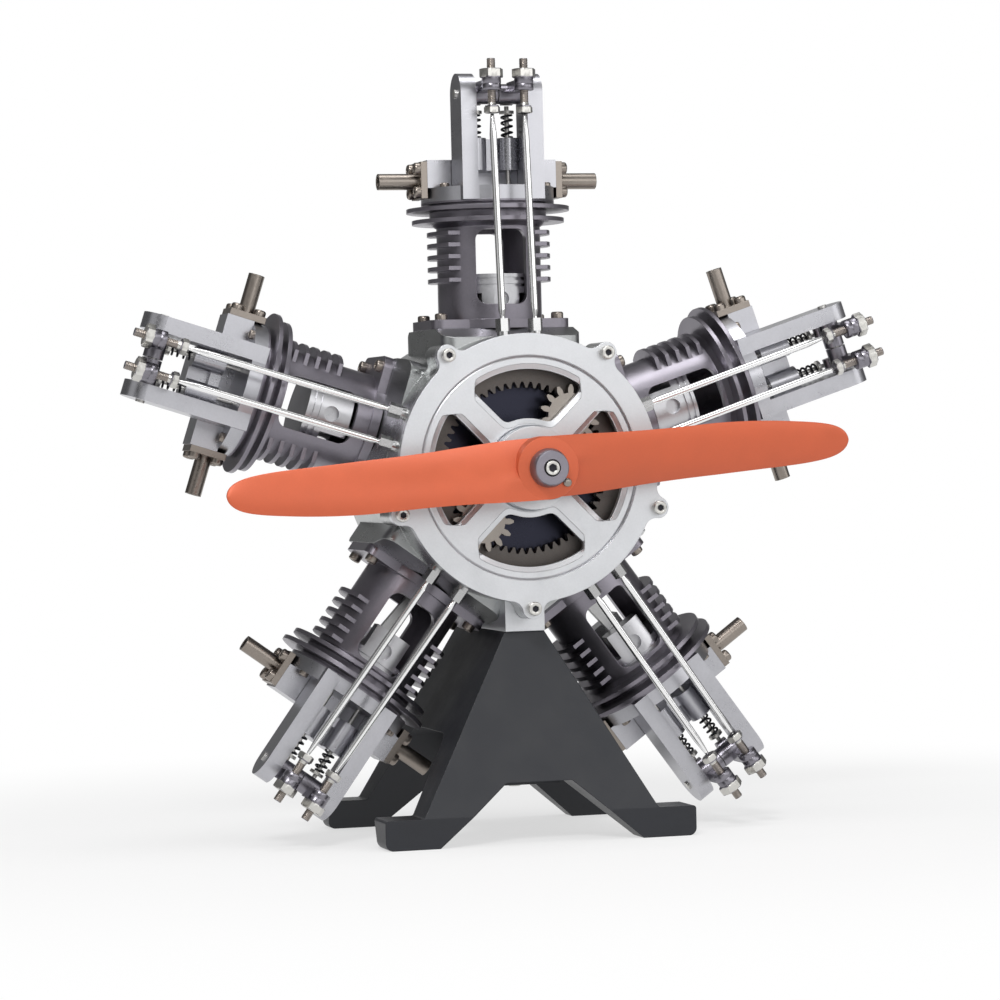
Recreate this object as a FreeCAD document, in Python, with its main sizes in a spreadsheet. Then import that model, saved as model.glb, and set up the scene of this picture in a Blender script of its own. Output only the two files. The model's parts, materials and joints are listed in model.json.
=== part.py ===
import FreeCAD, Part
import Sketcher
import math
import os

from FreeCAD import Placement, Rotation, Vector

# Five-cylinder radial engine on its stand, in millimetres.
# Engine frame: the crank axis runs along Y through the origin, the front looks to -Y, +Z is up.
# A cylinder unit is drawn standing on the crank axis along +Z, then turned about Y to its place.

doc = FreeCAD.newDocument("RadialEngine")
sheet = doc.addObject("Spreadsheet::Sheet", "Sizes")

driving_sizes = {
    # whole engine
    "axis_height": 94.5,
    "stand_front": 37.0,
    "stand_rear": 31.0,
    "running_gap": 0.05,
    "face_gap": 0.3,
    # crankcase
    "pad_reach": 36.0,
    "case_round": 35.2,
    "case_front": 16.0,
    "case_rear": 19.0,
    "nose_start": 21.0,
    "nose_front": 31.0,
    "nose_round": 34.0,
    "nose_bore": 31.2,
    "case_bore": 29.5,
    "spigot_room": 6.0,
    "partition_front": 24.0,
    "partition_back": 22.0,
    "bearing_boss_round": 8.0,
    "bearing_boss_back": 17.6,
    "cam_seat_round": 23.9,
    "cam_seat_bore": 22.4,
    "cam_seat_height": 1.4,
    "lug_pitch_round": 35.5,
    "lug_round": 2.7,
    "lug_length": 9.0,
    "lug_blend": 3.0,
    "neck_flat": 13.0,
    "neck_front_reach": 33.6,
    "neck_rear": 17.5,
    "neck_rear_reach": 33.0,
    "neck_foot": 22.0,
    "neck_corner": 3.5,
    # covers
    "cover_front": 33.4,
    "cover_recess": 0.7,
    "cover_recess_round": 28.5,
    "cover_boss_round": 10.5,
    "cover_boss_front": 37.2,
    "window_outer": 25.0,
    "window_inner": 12.5,
    "spoke_half_width": 3.75,
    "window_corner": 1.6,
    "window_inner_corner": 0.8,
    "window_count": 4,
    "rear_cover_round": 33.0,
    "rear_cover_wall": 2.6,
    "rear_boss_round": 9.0,
    "rear_boss_height": 2.4,
    "rear_boss_taper": 1.2,
    "rear_spigot_depth": 1.5,
    # crankshaft and main bearings
    "crank_throw": 7.6,
    "shaft_round": 3.0,
    "shaft_clearance": 0.6,
    "press_gap": 0.02,
    "bearing_round": 5.6,
    "bearing_width": 3.0,
    "web_front": 14.0,
    "web_back": 10.0,
    "web_half_width": 5.0,
    "pin_round": 2.9,
    "pin_washer_round": 4.2,
    "pin_washer_thickness": 0.8,
    "counterweight_round": 22.0,
    "counterweight_low": 3.0,
    "flange_round": 7.3,
    "flange_thickness": 2.0,
    "flange_hub_round": 4.4,
    "oil_plug_round": 0.72,
    # master rod hub
    "hub_thickness": 2.4,
    "hub_round": 16.2,
    "link_pin_pitch": 13.0,
    "link_pin_round": 1.9,
    "link_pin_length": 0.9,
    "rod_layer_pitch": 4.4,
    "rod_thickness": 2.4,
    "rod_eye_round": 3.2,
    "rod_shank_width": 3.2,
    "small_end_round": 3.4,
    # pistons
    "pin_reach_mean": 51.2,
    "piston_clearance": 0.06,
    "crown_height": 6.5,
    "crown_thickness": 5.0,
    "ring_depth": 0.5,
    "ring_height": 0.8,
    "ring_pitch": 1.7,
    "skirt_half_width": 5.0,
    "skirt_length": 5.2,
    "skirt_slot": 5.9,
    "wrist_pin_round": 2.0,
    "wrist_pin_end": 1.6,
    # cylinders
    "bore_round": 11.5,
    "barrel_round": 13.5,
    "spigot_round": 12.8,
    "spigot_length": 4.0,
    "barrel_flange_round": 14.5,
    "flange_half_width": 18.5,
    "flange_half_depth": 11.5,
    "flange_corner": 3.0,
    "barrel_flange_height": 2.4,
    "barrel_window_low": 42.2,
    "barrel_window_high": 61.5,
    "barrel_window_width": 13.5,
    "barrel_window_corner": 2.8,
    "side_fin_first": 48.7,
    "side_fin_pitch": 3.03,
    "side_fin_count": 5,
    "side_fin_round": 16.0,
    "side_fin_half_depth": 9.0,
    "fin_thickness": 1.1,
    "lower_ring_drop": 5.0,
    "lower_ring_round": 19.8,
    "upper_ring_drop": 2.0,
    "upper_ring_round": 21.2,
    "ring_fin_neck": 15.2,
    # cylinder heads
    "head_bottom": 69.0,
    "head_plate": 3.6,
    "head_round": 17.3,
    "head_front": 16.0,
    "port_half_width": 17.3,
    "port_half_depth": 5.0,
    "port_height": 7.2,
    "cheek_inner": 6.75,
    "cheek_outer": 10.9,
    "cheek_back": 5.5,
    "pivot_rise": 10.9,
    "tower_front": 3.0,
    "tower_height": 5.5,
    "sleeve_round": 2.8,
    "sleeve_rise": 4.4,
    "pocket_back": 2.5,
    "pipe_rise": 1.9,
    "pipe_round": 2.1,
    "pipe_bore": 1.45,
    "pipe_end": 29.3,
    "pipe_flange": 1.7,
    "pipe_flange_below": 4.6,
    "pipe_flange_above": 4.9,
    # valve gear
    "valve_side": 4.3,
    "valve_depth": 5.0,
    "stem_round": 0.6,
    "valve_head_round": 3.8,
    "valve_head_drop": 2.1,
    "valve_head_height": 0.9,
    "valve_gap": 0.2,
    "retainer_round": 1.9,
    "retainer_drop": 2.0,
    "retainer_height": 0.8,
    "spring_round": 1.75,
    "spring_bore": 0.95,
    "spring_room": 1.1,
    "rocker_shaft_round": 1.2,
    "rocker_shaft_end": 0.5,
    "rocker_hub_round": 2.6,
    "collar_depth": 21.5,
    "collar_height": 3.2,
    "collar_round": 2.4,
    "arm_half_width": 1.5,
    "arm_rise": 0.1,
    "arm_height": 2.8,
    "rocker_pad_round": 1.6,
    "pad_drop": 0.8,
    "rear_arm_drop": 0.6,
    "adjuster_round": 1.0,
    "adjuster_foot_drop": 5.8,
    "adjuster_foot_height": 1.9,
    "adjuster_foot_flats": 3.2,
    "adjuster_tip_rise": 8.1,
    "lock_nut_height": 2.2,
    "lock_nut_flats": 5.3,
    "pushrod_round": 0.9,
    "pushrod_neck": 0.6,
    "pushrod_tip_round": 0.4,
    "pushrod_gap": 0.25,
    "pushrod_taper": 5.0,
    "pushrod_shoulder_low": 0.5,
    "pushrod_shoulder_high": 2.2,
    "pushrod_lean_angle": 5.3,
    "guide_reach": 36.2,
    "guide_round": 1.6,
    "guide_height": 1.4,
    "guide_depth": 3.4,
    "guide_flats": 3.3,
    "guide_hex_reach": 34.3,
    "tappet_end": 27.8,
    # timing gears
    "idler_pitch_round": 17.5,
    "idler_angle": 48.0,
    "idler_axle_round": 1.2,
    "idler_spacer_wall": 0.9,
    "axle_end_gap": 0.1,
    "spacer_end_gap": 0.2,
    "front_gear_front": 30.6,
    "front_gear_width": 2.2,
    "cam_ring_front": 28.1,
    "cam_ring_back": 24.3,
    "cam_base_round": 26.4,
    "cam_lobe_reach": 27.7,
    "cam_lobe_round": 10.0,
    "cam_lobe_angle": 36.0,
    "sun_teeth": 21,
    "idler_teeth": 14,
    "drive_module": 1.0,
    "pinion_teeth": 10,
    "cam_teeth": 60,
    "cam_module": 0.7,
    "backlash": 0.16,
    "addendum": 0.92,
    "dedendum": 1.25,
    # propeller
    "propeller_back": 43.0,
    "propeller_thickness": 6.5,
    "propeller_boss_round": 7.3,
    "blade_front_share": 0.65,
    "blade_reach": 81.0,
    "blade_height": 14.9,
    "blade_thickness": 2.5,
    "propeller_rest_angle": 3.6,
    "propeller_nut_round": 4.9,
    "propeller_nut_height": 3.4,
    "stub_round": 2.0,
    "stub_length": 2.2,
    "end_screw_round": 1.9,
    "end_screw_height": 0.5,
    "drive_pin_round": 1.1,
    "drive_pin_height": 0.8,
    "drive_pin_pitch": 6.0,
    "drive_pin_angle": -42.0,
    # stand
    "block_drop": 41.5,
    "stand_top_half_width": 5.2,
    "ankle_height": 7.6,
    "ankle_half_width": 30.8,
    "foot_half_width": 40.8,
    "arch_top_half_width": 8.6,
    "arch_top": 15.4,
    "arch_foot_half_width": 26.7,
    "stand_top_front": 24.5,
    "stand_top_rear": 21.0,
    "side_arch_top": 27.3,
    "side_arch_top_front": 18.0,
    "side_arch_top_rear": 13.0,
    "side_arch_foot_front": 28.5,
    "side_arch_foot_rear": 25.0,
    "side_arch_corner": 4.0,
    "foot_corner": 2.0,
    "stand_corner": 0.8,
    "stand_plate_wall": 1.6,
    "stand_plate_front": 24.0,
    "stand_plate_rear": 21.0,
    "block_half_width": 5.2,
    "block_front": 25.5,
    "block_rear": 18.0,
    "block_top": 2.0,
}

derived_sizes = {
    "stand_top": "axis_height - block_drop",
    "lower_ring_fin": "head_bottom - lower_ring_drop",
    "upper_ring_fin": "head_bottom - upper_ring_drop",
    "valve_head_low": "head_bottom - valve_head_drop",
    "head_top": "head_bottom + head_plate",
    "port_top": "head_top + port_height",
    "tower_top": "port_top + tower_height",
    "sleeve_bottom": "head_top + sleeve_rise",
    "pipe_reach": "head_top + pipe_rise",
    "pipe_flange_low": "pipe_reach - pipe_flange_below",
    "pipe_flange_high": "pipe_reach + pipe_flange_above",
    "pivot_reach": "tower_top + pivot_rise",
    "collar_low": "pivot_reach",
    "arm_low": "pivot_reach + arm_rise",
    "rocker_pad_reach": "pivot_reach - pad_drop",
    "valve_tip": "rocker_pad_reach - rocker_pad_round - valve_gap",
    "retainer_low": "valve_tip - retainer_drop",
    "spring_top": "retainer_low - spring_room",
    "adjuster_foot": "pivot_reach - adjuster_foot_drop",
    "adjuster_tip": "pivot_reach + adjuster_tip_rise",
    "pushrod_top": "adjuster_foot - pushrod_gap",
}
cells = {name: str(number) for name, number in driving_sizes.items()}
cells.update({name: "=" + text for name, text in derived_sizes.items()})

for row, (name, content) in enumerate(cells.items(), start=1):
    sheet.set(f"A{row}", name)
    sheet.set(f"B{row}", content)
    sheet.setAlias(f"B{row}", name)
doc.recompute()

cylinder_count = 5
cylinder_step = 360.0 / cylinder_count
pressure_angle = 20.0

Y_AXIS = Vector(0, 1, 0)
ALONG_Y = Rotation(Vector(1, 0, 0), -90)
ALONG_X = Rotation(Vector(0, 1, 0), 90)


def size(name):
    """The number that a cell of the sheet holds."""
    return float(sheet.get(name))


def formula(text):
    """An expression in which each sheet name is written out with its sheet."""
    words = text.replace("(", " ( ").replace(")", " ) ").split()
    return " ".join("Sizes." + word if word in cells else word for word in words)


def bind(feature, **formulas):
    """Tie properties of a feature to the sheet. at_x, at_y and at_z place its base."""
    for key, text in formulas.items():
        path = ".Placement.Base." + key[-1] if key.startswith("at_") else key
        feature.setExpression(path, formula(str(text)))
    return feature


def round_bar(name, radius, low, high, along="z", at_x="0", at_y="0", at_z="0"):
    """A cylinder from low to high along one axis."""
    bar = doc.addObject("Part::Cylinder", name)
    places = {"at_x": at_x, "at_y": at_y, "at_z": at_z}
    places["at_" + along] = low
    if along == "y":
        bar.Placement = Placement(Vector(), ALONG_Y)
    if along == "x":
        bar.Placement = Placement(Vector(), ALONG_X)
    return bind(bar, Radius=radius, Height=f"({high}) - ({low})", **places)


def taper(name, low_radius, high_radius, low, high, along="z", at_x="0", at_y="0", at_z="0"):
    """A cone frustum from low to high along one axis."""
    cone = doc.addObject("Part::Cone", name)
    places = {"at_x": at_x, "at_y": at_y, "at_z": at_z}
    places["at_" + along] = low
    if along == "y":
        cone.Placement = Placement(Vector(), ALONG_Y)
    return bind(cone, Radius1=low_radius, Radius2=high_radius, Height=f"({high}) - ({low})", **places)


def block(name, x_span, y_span, z_span):
    """A box between two corners, each span a pair of formulas."""
    box = doc.addObject("Part::Box", name)
    spans = {"Length": x_span, "Width": y_span, "Height": z_span}
    sides = {key: f"({high}) - ({low})" for key, (low, high) in spans.items()}
    return bind(box, at_x=x_span[0], at_y=y_span[0], at_z=z_span[0], **sides)


def hexagon(name, flats, low, high, at_x="0", at_y="0"):
    """A hexagonal bar, given across its flats."""
    bar = doc.addObject("Part::Prism", name)
    bar.Polygon = 6
    return bind(bar, Circumradius=f"{flats} / 1.7320508", Height=f"({high}) - ({low})",
                at_x=at_x, at_y=at_y, at_z=low)


def fuse(name, *shapes):
    joined = doc.addObject("Part::MultiFuse", name)
    joined.Shapes = list(shapes)
    joined.Refine = True
    return joined


def cut(name, base, *tools):
    removed = doc.addObject("Part::Cut", name)
    removed.Base = base
    removed.Tool = tools[0] if len(tools) == 1 else fuse(name + "_tools", *tools)
    removed.Refine = True
    return removed


def common(name, first, second):
    shared = doc.addObject("Part::Common", name)
    shared.Base = first
    shared.Tool = second
    shared.Refine = True
    return shared


def group(name, *members):
    """Separate solids kept together, which can be placed as one."""
    kept = doc.addObject("Part::Compound", name)
    kept.Links = list(members)
    return kept


def turned(name, member, angle):
    """A copy turned about the crank axis. A positive angle goes clockwise as seen from the front."""
    copy = group(name, member)
    copy.Placement = Placement(Vector(0, 0, 0), Rotation(Y_AXIS, angle))
    return copy


def each_cylinder(name, member):
    """A list of copies of a piece, one at every cylinder."""
    return [turned(f"{name}_{n + 1}", member, n * cylinder_step) for n in range(cylinder_count)]


def around_case(name, member):
    """One copy of a piece at every cylinder, kept together."""
    return group(name, *each_cylinder(name + "_turned", member))


def mirrored(name, source):
    """The left-hand copy of a piece."""
    copy = doc.addObject("Part::Mirroring", name)
    copy.Source = source
    copy.Normal = Vector(1, 0, 0)
    return copy


def origin_plane(body, role):
    return next(plane for plane in body.Origin.OriginFeatures if plane.Role == role)


def sketch_on(body, role, name, offset=0.0):
    """A sketch on one of the body's origin planes, moved along the plane's normal."""
    sketch = body.newObject("Sketcher::SketchObject", name)
    sketch.AttachmentSupport = [(origin_plane(body, role), "")]
    sketch.MapMode = "FlatFace"
    sketch.AttachmentOffset = Placement(Vector(0, 0, offset), Rotation())
    return sketch


def outline(sketch, points):
    """A closed outline of straight lines."""
    corners = [Vector(x, y, 0) for x, y in points]
    for start, end in zip(corners, corners[1:] + corners[:1]):
        sketch.addGeometry(Part.LineSegment(start, end), False)
    return sketch


def softened(sketch, points, radii):
    """A closed outline of straight lines whose corners are rounded by the given radii."""
    corners = [Vector(x, y, 0) for x, y in points]
    starts, ends, arcs = [], [], []
    for n, corner in enumerate(corners):
        back = (corners[n - 1] - corner).normalize()
        ahead = (corners[(n + 1) % len(corners)] - corner).normalize()
        half = back.getAngle(ahead) / 2
        reach = radii[n] / math.tan(half)
        starts.append(corner + back * reach)
        ends.append(corner + ahead * reach)
        inward = (back + ahead).normalize()
        crown = corner + inward * (radii[n] / math.sin(half) - radii[n])
        arcs.append(Part.Arc(starts[n], crown, ends[n]) if radii[n] else None)
    for n, arc in enumerate(arcs):
        if arc:
            sketch.addGeometry(arc, False)
        sketch.addGeometry(Part.LineSegment(ends[n], starts[(n + 1) % len(starts)]), False)
    return sketch


def lugged_round(sketch):
    """The case's nose seen from the front: a disc whose screw lugs run into it with hollow blends."""
    lug_names = ("nose_round", "lug_round", "lug_blend", "lug_pitch_round")
    disc, lug, blend, pitch = (size(name) for name in lug_names)
    around = disc + blend
    spread = math.acos((around ** 2 + pitch ** 2 - (lug + blend) ** 2) / (2 * around * pitch))
    turn = 2 * math.pi / cylinder_count

    def polar(radius, angle):
        return Vector(radius * math.cos(angle), radius * math.sin(angle), 0)

    for n in range(cylinder_count):
        middle = math.pi / 2 + turn * (n + 0.5)
        centre = polar(pitch, middle)
        blends = []
        for side in (-spread, spread):
            hollow = polar(around, middle + side)
            on_disc = polar(disc, middle + side)
            on_lug = centre + (hollow - centre).normalize() * lug
            dip = hollow + ((on_disc - hollow) + (on_lug - hollow)).normalize() * blend
            blends.append((on_disc, dip, on_lug))
        first, last = blends
        sketch.addGeometry(Part.Arc(*first), False)
        sketch.addGeometry(Part.Arc(first[2], polar(pitch + lug, middle), last[2]), False)
        sketch.addGeometry(Part.Arc(*reversed(last)), False)
        next_start = polar(disc, middle + turn - spread)
        sketch.addGeometry(Part.Arc(last[0], polar(disc, middle + turn / 2), next_start), False)
    return sketch


def cover_window(sketch):
    """The upper window between two spokes, with arcs outside and inside and rounded corners."""
    outer, inner, spoke = (size(name) for name in ("window_outer", "window_inner", "spoke_half_width"))
    diagonal = Vector(1, 1, 0).normalize()
    across = Vector(-1, 1, 0).normalize()

    def corner(radius, fillet, sign):
        """Touching points of a fillet between an arc and the right-hand side."""
        reach = radius - sign * fillet
        centre = diagonal * math.sqrt(reach ** 2 - (spoke + fillet) ** 2) + across * (spoke + fillet)
        on_arc = Vector(centre).normalize() * radius
        on_side = centre - across * fillet
        middle = centre + ((on_arc - centre) + (on_side - centre)).normalize() * fillet
        return [on_arc, middle, on_side]

    def flip(points):
        return [Vector(-point.x, point.y, 0) for point in points]

    top = corner(outer, size("window_corner"), 1)
    low = corner(inner, size("window_inner_corner"), -1)
    left_top, left_low = flip(top), flip(low)
    sketch.addGeometry(Part.Arc(top[0], Vector(0, outer, 0), left_top[0]), False)
    sketch.addGeometry(Part.Arc(*left_top), False)
    sketch.addGeometry(Part.LineSegment(left_top[2], left_low[2]), False)
    sketch.addGeometry(Part.Arc(*reversed(left_low)), False)
    sketch.addGeometry(Part.Arc(left_low[0], Vector(0, inner, 0), low[0]), False)
    sketch.addGeometry(Part.Arc(*low), False)
    sketch.addGeometry(Part.LineSegment(low[2], top[2]), False)
    sketch.addGeometry(Part.Arc(*reversed(top)), False)
    return sketch


def rounded_box(sketch, low, high, corner):
    """A rectangle with round corners."""
    (x0, y0), (x1, y1) = low, high
    turn = math.pi / 2
    centres = [(x1 - corner, y1 - corner), (x0 + corner, y1 - corner),
               (x0 + corner, y0 + corner), (x1 - corner, y0 + corner)]
    arcs = []
    for n, (x, y) in enumerate(centres):
        ring = Part.Circle(Vector(x, y, 0), Vector(0, 0, 1), corner)
        arcs.append(Part.ArcOfCircle(ring, n * turn, (n + 1) * turn))
    for n, arc in enumerate(arcs):
        sketch.addGeometry(arc, False)
        sketch.addGeometry(Part.LineSegment(arc.EndPoint, arcs[(n + 1) % 4].StartPoint), False)
    return sketch


def pad(body, sketch, length, name, backwards=False):
    feature = body.newObject("PartDesign::Pad", name)
    feature.Profile = sketch
    feature.Reversed = backwards
    feature.setExpression("Length", formula(length))
    return feature


def pocket(body, sketch, length, name, backwards=False, both=False):
    feature = body.newObject("PartDesign::Pocket", name)
    feature.Profile = sketch
    feature.Reversed = backwards
    feature.Midplane = both
    feature.setExpression("Length", formula(length))
    return feature


def spun(body, sketch, name):
    """The sketch turned a full circle about its upright axis."""
    feature = body.newObject("PartDesign::Revolution", name)
    feature.Profile = sketch
    feature.ReferenceAxis = (sketch, ["V_Axis"])
    feature.Angle = 360
    return feature


def tooth_outline(teeth, module, phase, tip, root, slack):
    """Corners of a toothed wheel with involute flanks, counted from +X towards +Z."""
    pitch = module * teeth / 2
    base = pitch * math.cos(math.radians(pressure_angle))

    def involute(radius):
        lean = math.acos(min(1.0, base / radius))
        return math.tan(lean) - lean

    half = math.pi / (2 * teeth) - slack / (2 * pitch)
    corners = []
    for n in range(teeth):
        middle = math.radians(phase) + 2 * math.pi * n / teeth
        rise = [(root, 1.0), (max(base, root), 1.0), (pitch, 1.0), (tip, 1.0)]
        if base <= root:
            rise.pop(1)
        flank = [(radius, half + involute(pitch) - involute(radius)) for radius, _ in rise]
        for radius, spread in flank:
            corners.append((radius, middle - spread))
        for radius, spread in reversed(flank):
            corners.append((radius, middle + spread))
    return [(radius * math.cos(angle), radius * math.sin(angle)) for radius, angle in corners]


def toothed_wheel(name, corners, front, width, at_x=0.0, at_z=0.0):
    """The outline as a solid whose front face lies at -front."""
    points = [Vector(x + at_x, -front, z + at_z) for x, z in corners]
    face = Part.Face(Part.makePolygon(points + points[:1]))
    wheel = doc.addObject("Part::Feature", name)
    wheel.Shape = face.extrude(Vector(0, width, 0))
    return wheel


def on_case(radius, degrees):
    """A point round the crank axis, the angle counted from +X towards +Z."""
    return radius * math.cos(math.radians(degrees)), radius * math.sin(math.radians(degrees))


def ring(sketch, radius, x=0.0, y=0.0):
    """A circle whose radius is tied to the sheet."""
    sketch.addGeometry(Part.Circle(Vector(x, y, 0), Vector(0, 0, 1), size(radius)), False)
    number = sketch.addConstraint(Sketcher.Constraint("Radius", sketch.GeometryCount - 1, size(radius)))
    sketch.setExpression(f"Constraints[{number}]", formula(radius))
    return sketch


def repeated(body, feature, name, copies):
    """The feature repeated evenly round the body's Y axis."""
    pattern = body.newObject("PartDesign::PolarPattern", name)
    pattern.Originals = [feature]
    pattern.Axis = (origin_plane(body, "Y_Axis"), [""])
    pattern.Angle = 360
    pattern.Occurrences = copies
    body.Tip = pattern
    return pattern


# The part's own origin lies under the middle of its length, from the end screw to the stand's back
nose_length = "propeller_back + propeller_thickness + propeller_nut_height + end_screw_height"
crank_plane = f"( {nose_length} - stand_rear ) / 2"
nodes = []


def sub_part(label, *members, turn=0.0):
    """A named piece of the engine, turned to its cylinder and lifted to the crank axis."""
    piece = group("Node_" + label, *members)
    piece.Label = label
    piece.Placement = Placement(Vector(), Rotation(Y_AXIS, turn))
    bind(piece, at_y=crank_plane, at_z="axis_height")
    nodes.append(piece)
    return piece


def lifted(name, member, x="0", y="0", z="0", rotation=Rotation()):
    """A piece moved in the engine frame, turned first if a rotation is given."""
    moved = group(name, member)
    moved.Placement = Placement(Vector(), rotation)
    return bind(moved, at_x=x, at_y=y, at_z=z)


def leaned(name, member):
    """A piece of the pushrod line, drawn downwards from the rod's top and leant to its slope."""
    return lifted(name, member, "valve_side", "- collar_depth", "pushrod_top",
                  Rotation(Vector(1, 0, 0), -size("pushrod_lean_angle")))


def idler_places():
    first = size("idler_angle")
    return [on_case(size("idler_pitch_round"), first + turn) for turn in (0.0, 180.0)]


# Crankcase: a drum with a neck for each cylinder, a nose with screw lugs and a partition for the crank
case_drum = round_bar("case_drum", "case_round", "- case_front", "case_rear", along="y")
case_shoulder = taper("case_shoulder", "nose_round", "case_round", "- nose_start", "- case_front", along="y")
nose_drum = round_bar("nose_drum", "nose_round", "- nose_front", "- case_front", along="y")
nose_body = doc.addObject("PartDesign::Body", "nose_body")
nose_outline = lugged_round(sketch_on(nose_body, "XZ_Plane", "nose_outline",
                                      size("nose_front") - size("lug_length")))
pad(nose_body, nose_outline, "lug_length", "nose_lugs")

neck_side_body = doc.addObject("PartDesign::Body", "neck_side_body")
neck_side = [(-size("nose_start"), size("neck_foot")), (-size("nose_start"), size("neck_front_reach")),
             (-size("neck_flat"), size("pad_reach")), (size("neck_flat"), size("pad_reach")),
             (size("neck_rear"), size("neck_rear_reach")), (size("neck_rear"), size("neck_foot"))]
pad(neck_side_body, outline(sketch_on(neck_side_body, "YZ_Plane", "neck_side", -size("flange_half_width")),
                            neck_side), "flange_half_width * 2", "neck_profile")
neck_plan_body = doc.addObject("PartDesign::Body", "neck_plan_body")
neck_plan = rounded_box(sketch_on(neck_plan_body, "XY_Plane", "neck_plan", size("neck_foot")),
                        (-size("flange_half_width"), -size("nose_start")),
                        (size("flange_half_width"), size("neck_rear")), size("neck_corner"))
pad(neck_plan_body, neck_plan, "pad_reach - neck_foot", "neck_footprint")
neck = common("neck", neck_side_body, neck_plan_body)
case_envelope = fuse("case_envelope", case_drum, case_shoulder, nose_drum, nose_body,
                     *each_cylinder("neck_turned", neck))

cam_seat = cut("cam_seat",
               round_bar("cam_seat_outside", "cam_seat_round", "- partition_front - cam_seat_height",
                         "- partition_front", along="y"),
               round_bar("cam_seat_inside", "cam_seat_bore", "- partition_front - cam_seat_height - 1",
                         "- partition_front + 1", along="y"))
nose_hollow = cut("nose_hollow",
                  round_bar("nose_space", "nose_bore", "- nose_front - 1", "- partition_front", along="y"),
                  cam_seat)
case_hollow = cut("case_hollow",
                  round_bar("case_space", "case_bore", "- partition_back", "case_rear + 1", along="y"),
                  round_bar("bearing_boss", "bearing_boss_round", "- partition_back",
                            "- bearing_boss_back", along="y"))
bearing_seat = round_bar("bearing_seat", "bearing_round", "- bearing_boss_back - bearing_width",
                         "- bearing_boss_back + 1", along="y")
shaft_way = round_bar("shaft_way", "shaft_round + shaft_clearance", "- partition_front - 1",
                      "- bearing_boss_back", along="y")
spigot_hole = round_bar("spigot_hole", "spigot_round + running_gap", "case_bore - spigot_room",
                        "pad_reach + 1")
guide_hole = leaned("guide_hole", round_bar("guide_drill", "guide_round", "tappet_end - pushrod_top",
                                            "guide_reach + guide_height - pushrod_top"))
axle_holes = [round_bar(f"axle_hole_{n + 1}", "idler_axle_round", "- partition_front - 1",
                        "- partition_back + 1", along="y", at_x=str(x), at_z=str(z))
              for n, (x, z) in enumerate(idler_places())]
case_cavities = fuse("case_cavities", nose_hollow, case_hollow, bearing_seat, shaft_way,
                     around_case("spigot_holes", spigot_hole),
                     around_case("guide_holes", group("guide_hole_pair", guide_hole,
                                                      mirrored("guide_hole_left", guide_hole))),
                     *axle_holes)
crankcase = cut("crankcase_casting", case_envelope, case_cavities)
sub_part("crankcase", crankcase)

# Mounting block under the case, shaped to the casting it is fixed to
block_bar = block("block_bar", ("- block_half_width", "block_half_width"), ("- block_front", "block_rear"),
                  ("stand_top - axis_height", "block_top - nose_round"))
sub_part("mounting_block", cut("block_seated", block_bar, case_envelope))

# Front cover with four windows, five screw lugs and the boss of the front bearing
cover_body = doc.addObject("PartDesign::Body", "cover_body")
cover_start = size("nose_front")
pad(cover_body, lugged_round(sketch_on(cover_body, "XZ_Plane", "cover_outline", cover_start)),
    "cover_front - nose_front", "cover_plate")
pad(cover_body, ring(sketch_on(cover_body, "XZ_Plane", "cover_boss_outline", cover_start),
                     "cover_boss_round"), "cover_boss_front - nose_front", "cover_boss")
recess = ring(ring(sketch_on(cover_body, "XZ_Plane", "recess_outline", size("cover_front")),
                   "cover_recess_round"), "cover_boss_round")
pocket(cover_body, recess, "cover_recess", "cover_recess_cut")
window = pocket(cover_body, cover_window(sketch_on(cover_body, "XZ_Plane", "window_outline",
                                                   size("cover_front"))), "cover_front - nose_front",
                                                   "window")
repeated(cover_body, window, "windows", int(size("window_count")))
doc.recompute()
cover_shape = cut("cover_casting", cover_body,
                  round_bar("cover_shaft_hole", "shaft_round + shaft_clearance", "- cover_boss_front - 1",
                            "- nose_front + 1", along="y"),
                  round_bar("cover_bearing_seat", "bearing_round", "- cover_front - bearing_width",
                            "- nose_front + 1", along="y"))
sub_part("front_cover", cover_shape)

# Rear cover
rear_plate = round_bar("rear_plate", "rear_cover_round", "case_rear", "case_rear + rear_cover_wall",
                       along="y")
rear_boss = taper("rear_boss", "rear_boss_round", "rear_boss_round - rear_boss_taper",
                  "case_rear + rear_cover_wall",
                  "case_rear + rear_cover_wall + rear_boss_height", along="y")
rear_spigot = round_bar("rear_spigot", "case_bore - running_gap", "case_rear - rear_spigot_depth",
                        "case_rear", along="y")
sub_part("rear_cover", fuse("rear_casting", rear_plate, rear_boss, rear_spigot))


def bearing(name, front):
    """A plain ball bearing, its shields closing the ball track."""
    outside = round_bar(name + "_outside", "bearing_round", front, f"{front} + bearing_width", along="y")
    inside = round_bar(name + "_inside", "shaft_round + running_gap", f"{front} - 1",
                       f"{front} + bearing_width + 1", along="y")
    return cut(name, outside, inside)


# Bearings of the crankshaft, the idlers' axle pins and the pushrods' guide bushes
partition_bearing = bearing("partition_bearing", "- bearing_boss_back - bearing_width")
cover_bearing = bearing("cover_bearing", "- cover_front - bearing_width")
axle_pins = [round_bar(f"axle_pin_{n + 1}", "idler_axle_round", "- nose_front + axle_end_gap",
                       "- partition_back",
                       along="y", at_x=str(x), at_z=str(z))
             for n, (x, z) in enumerate(idler_places())]
guide_blank = fuse("guide_blank",
                   round_bar("guide_outside", "guide_round", "guide_reach - guide_depth - pushrod_top",
                             "guide_hex_reach - pushrod_top"),
                   hexagon("guide_hex", "guide_flats", "guide_hex_reach - pushrod_top",
                           "guide_reach + guide_height - pushrod_top"))
guide_bush = cut("guide_bush", guide_blank,
                 round_bar("guide_inside", "pushrod_neck + running_gap", "tappet_end - pushrod_top",
                           "guide_reach + guide_height + 1 - pushrod_top"))
guide_right = leaned("guide_right", guide_bush)
guides = around_case("guides", group("guide_pair", guide_right, mirrored("guide_left", guide_right)))
sub_part("bearings_and_bushes", partition_bearing, cover_bearing, *axle_pins, guides)

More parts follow.
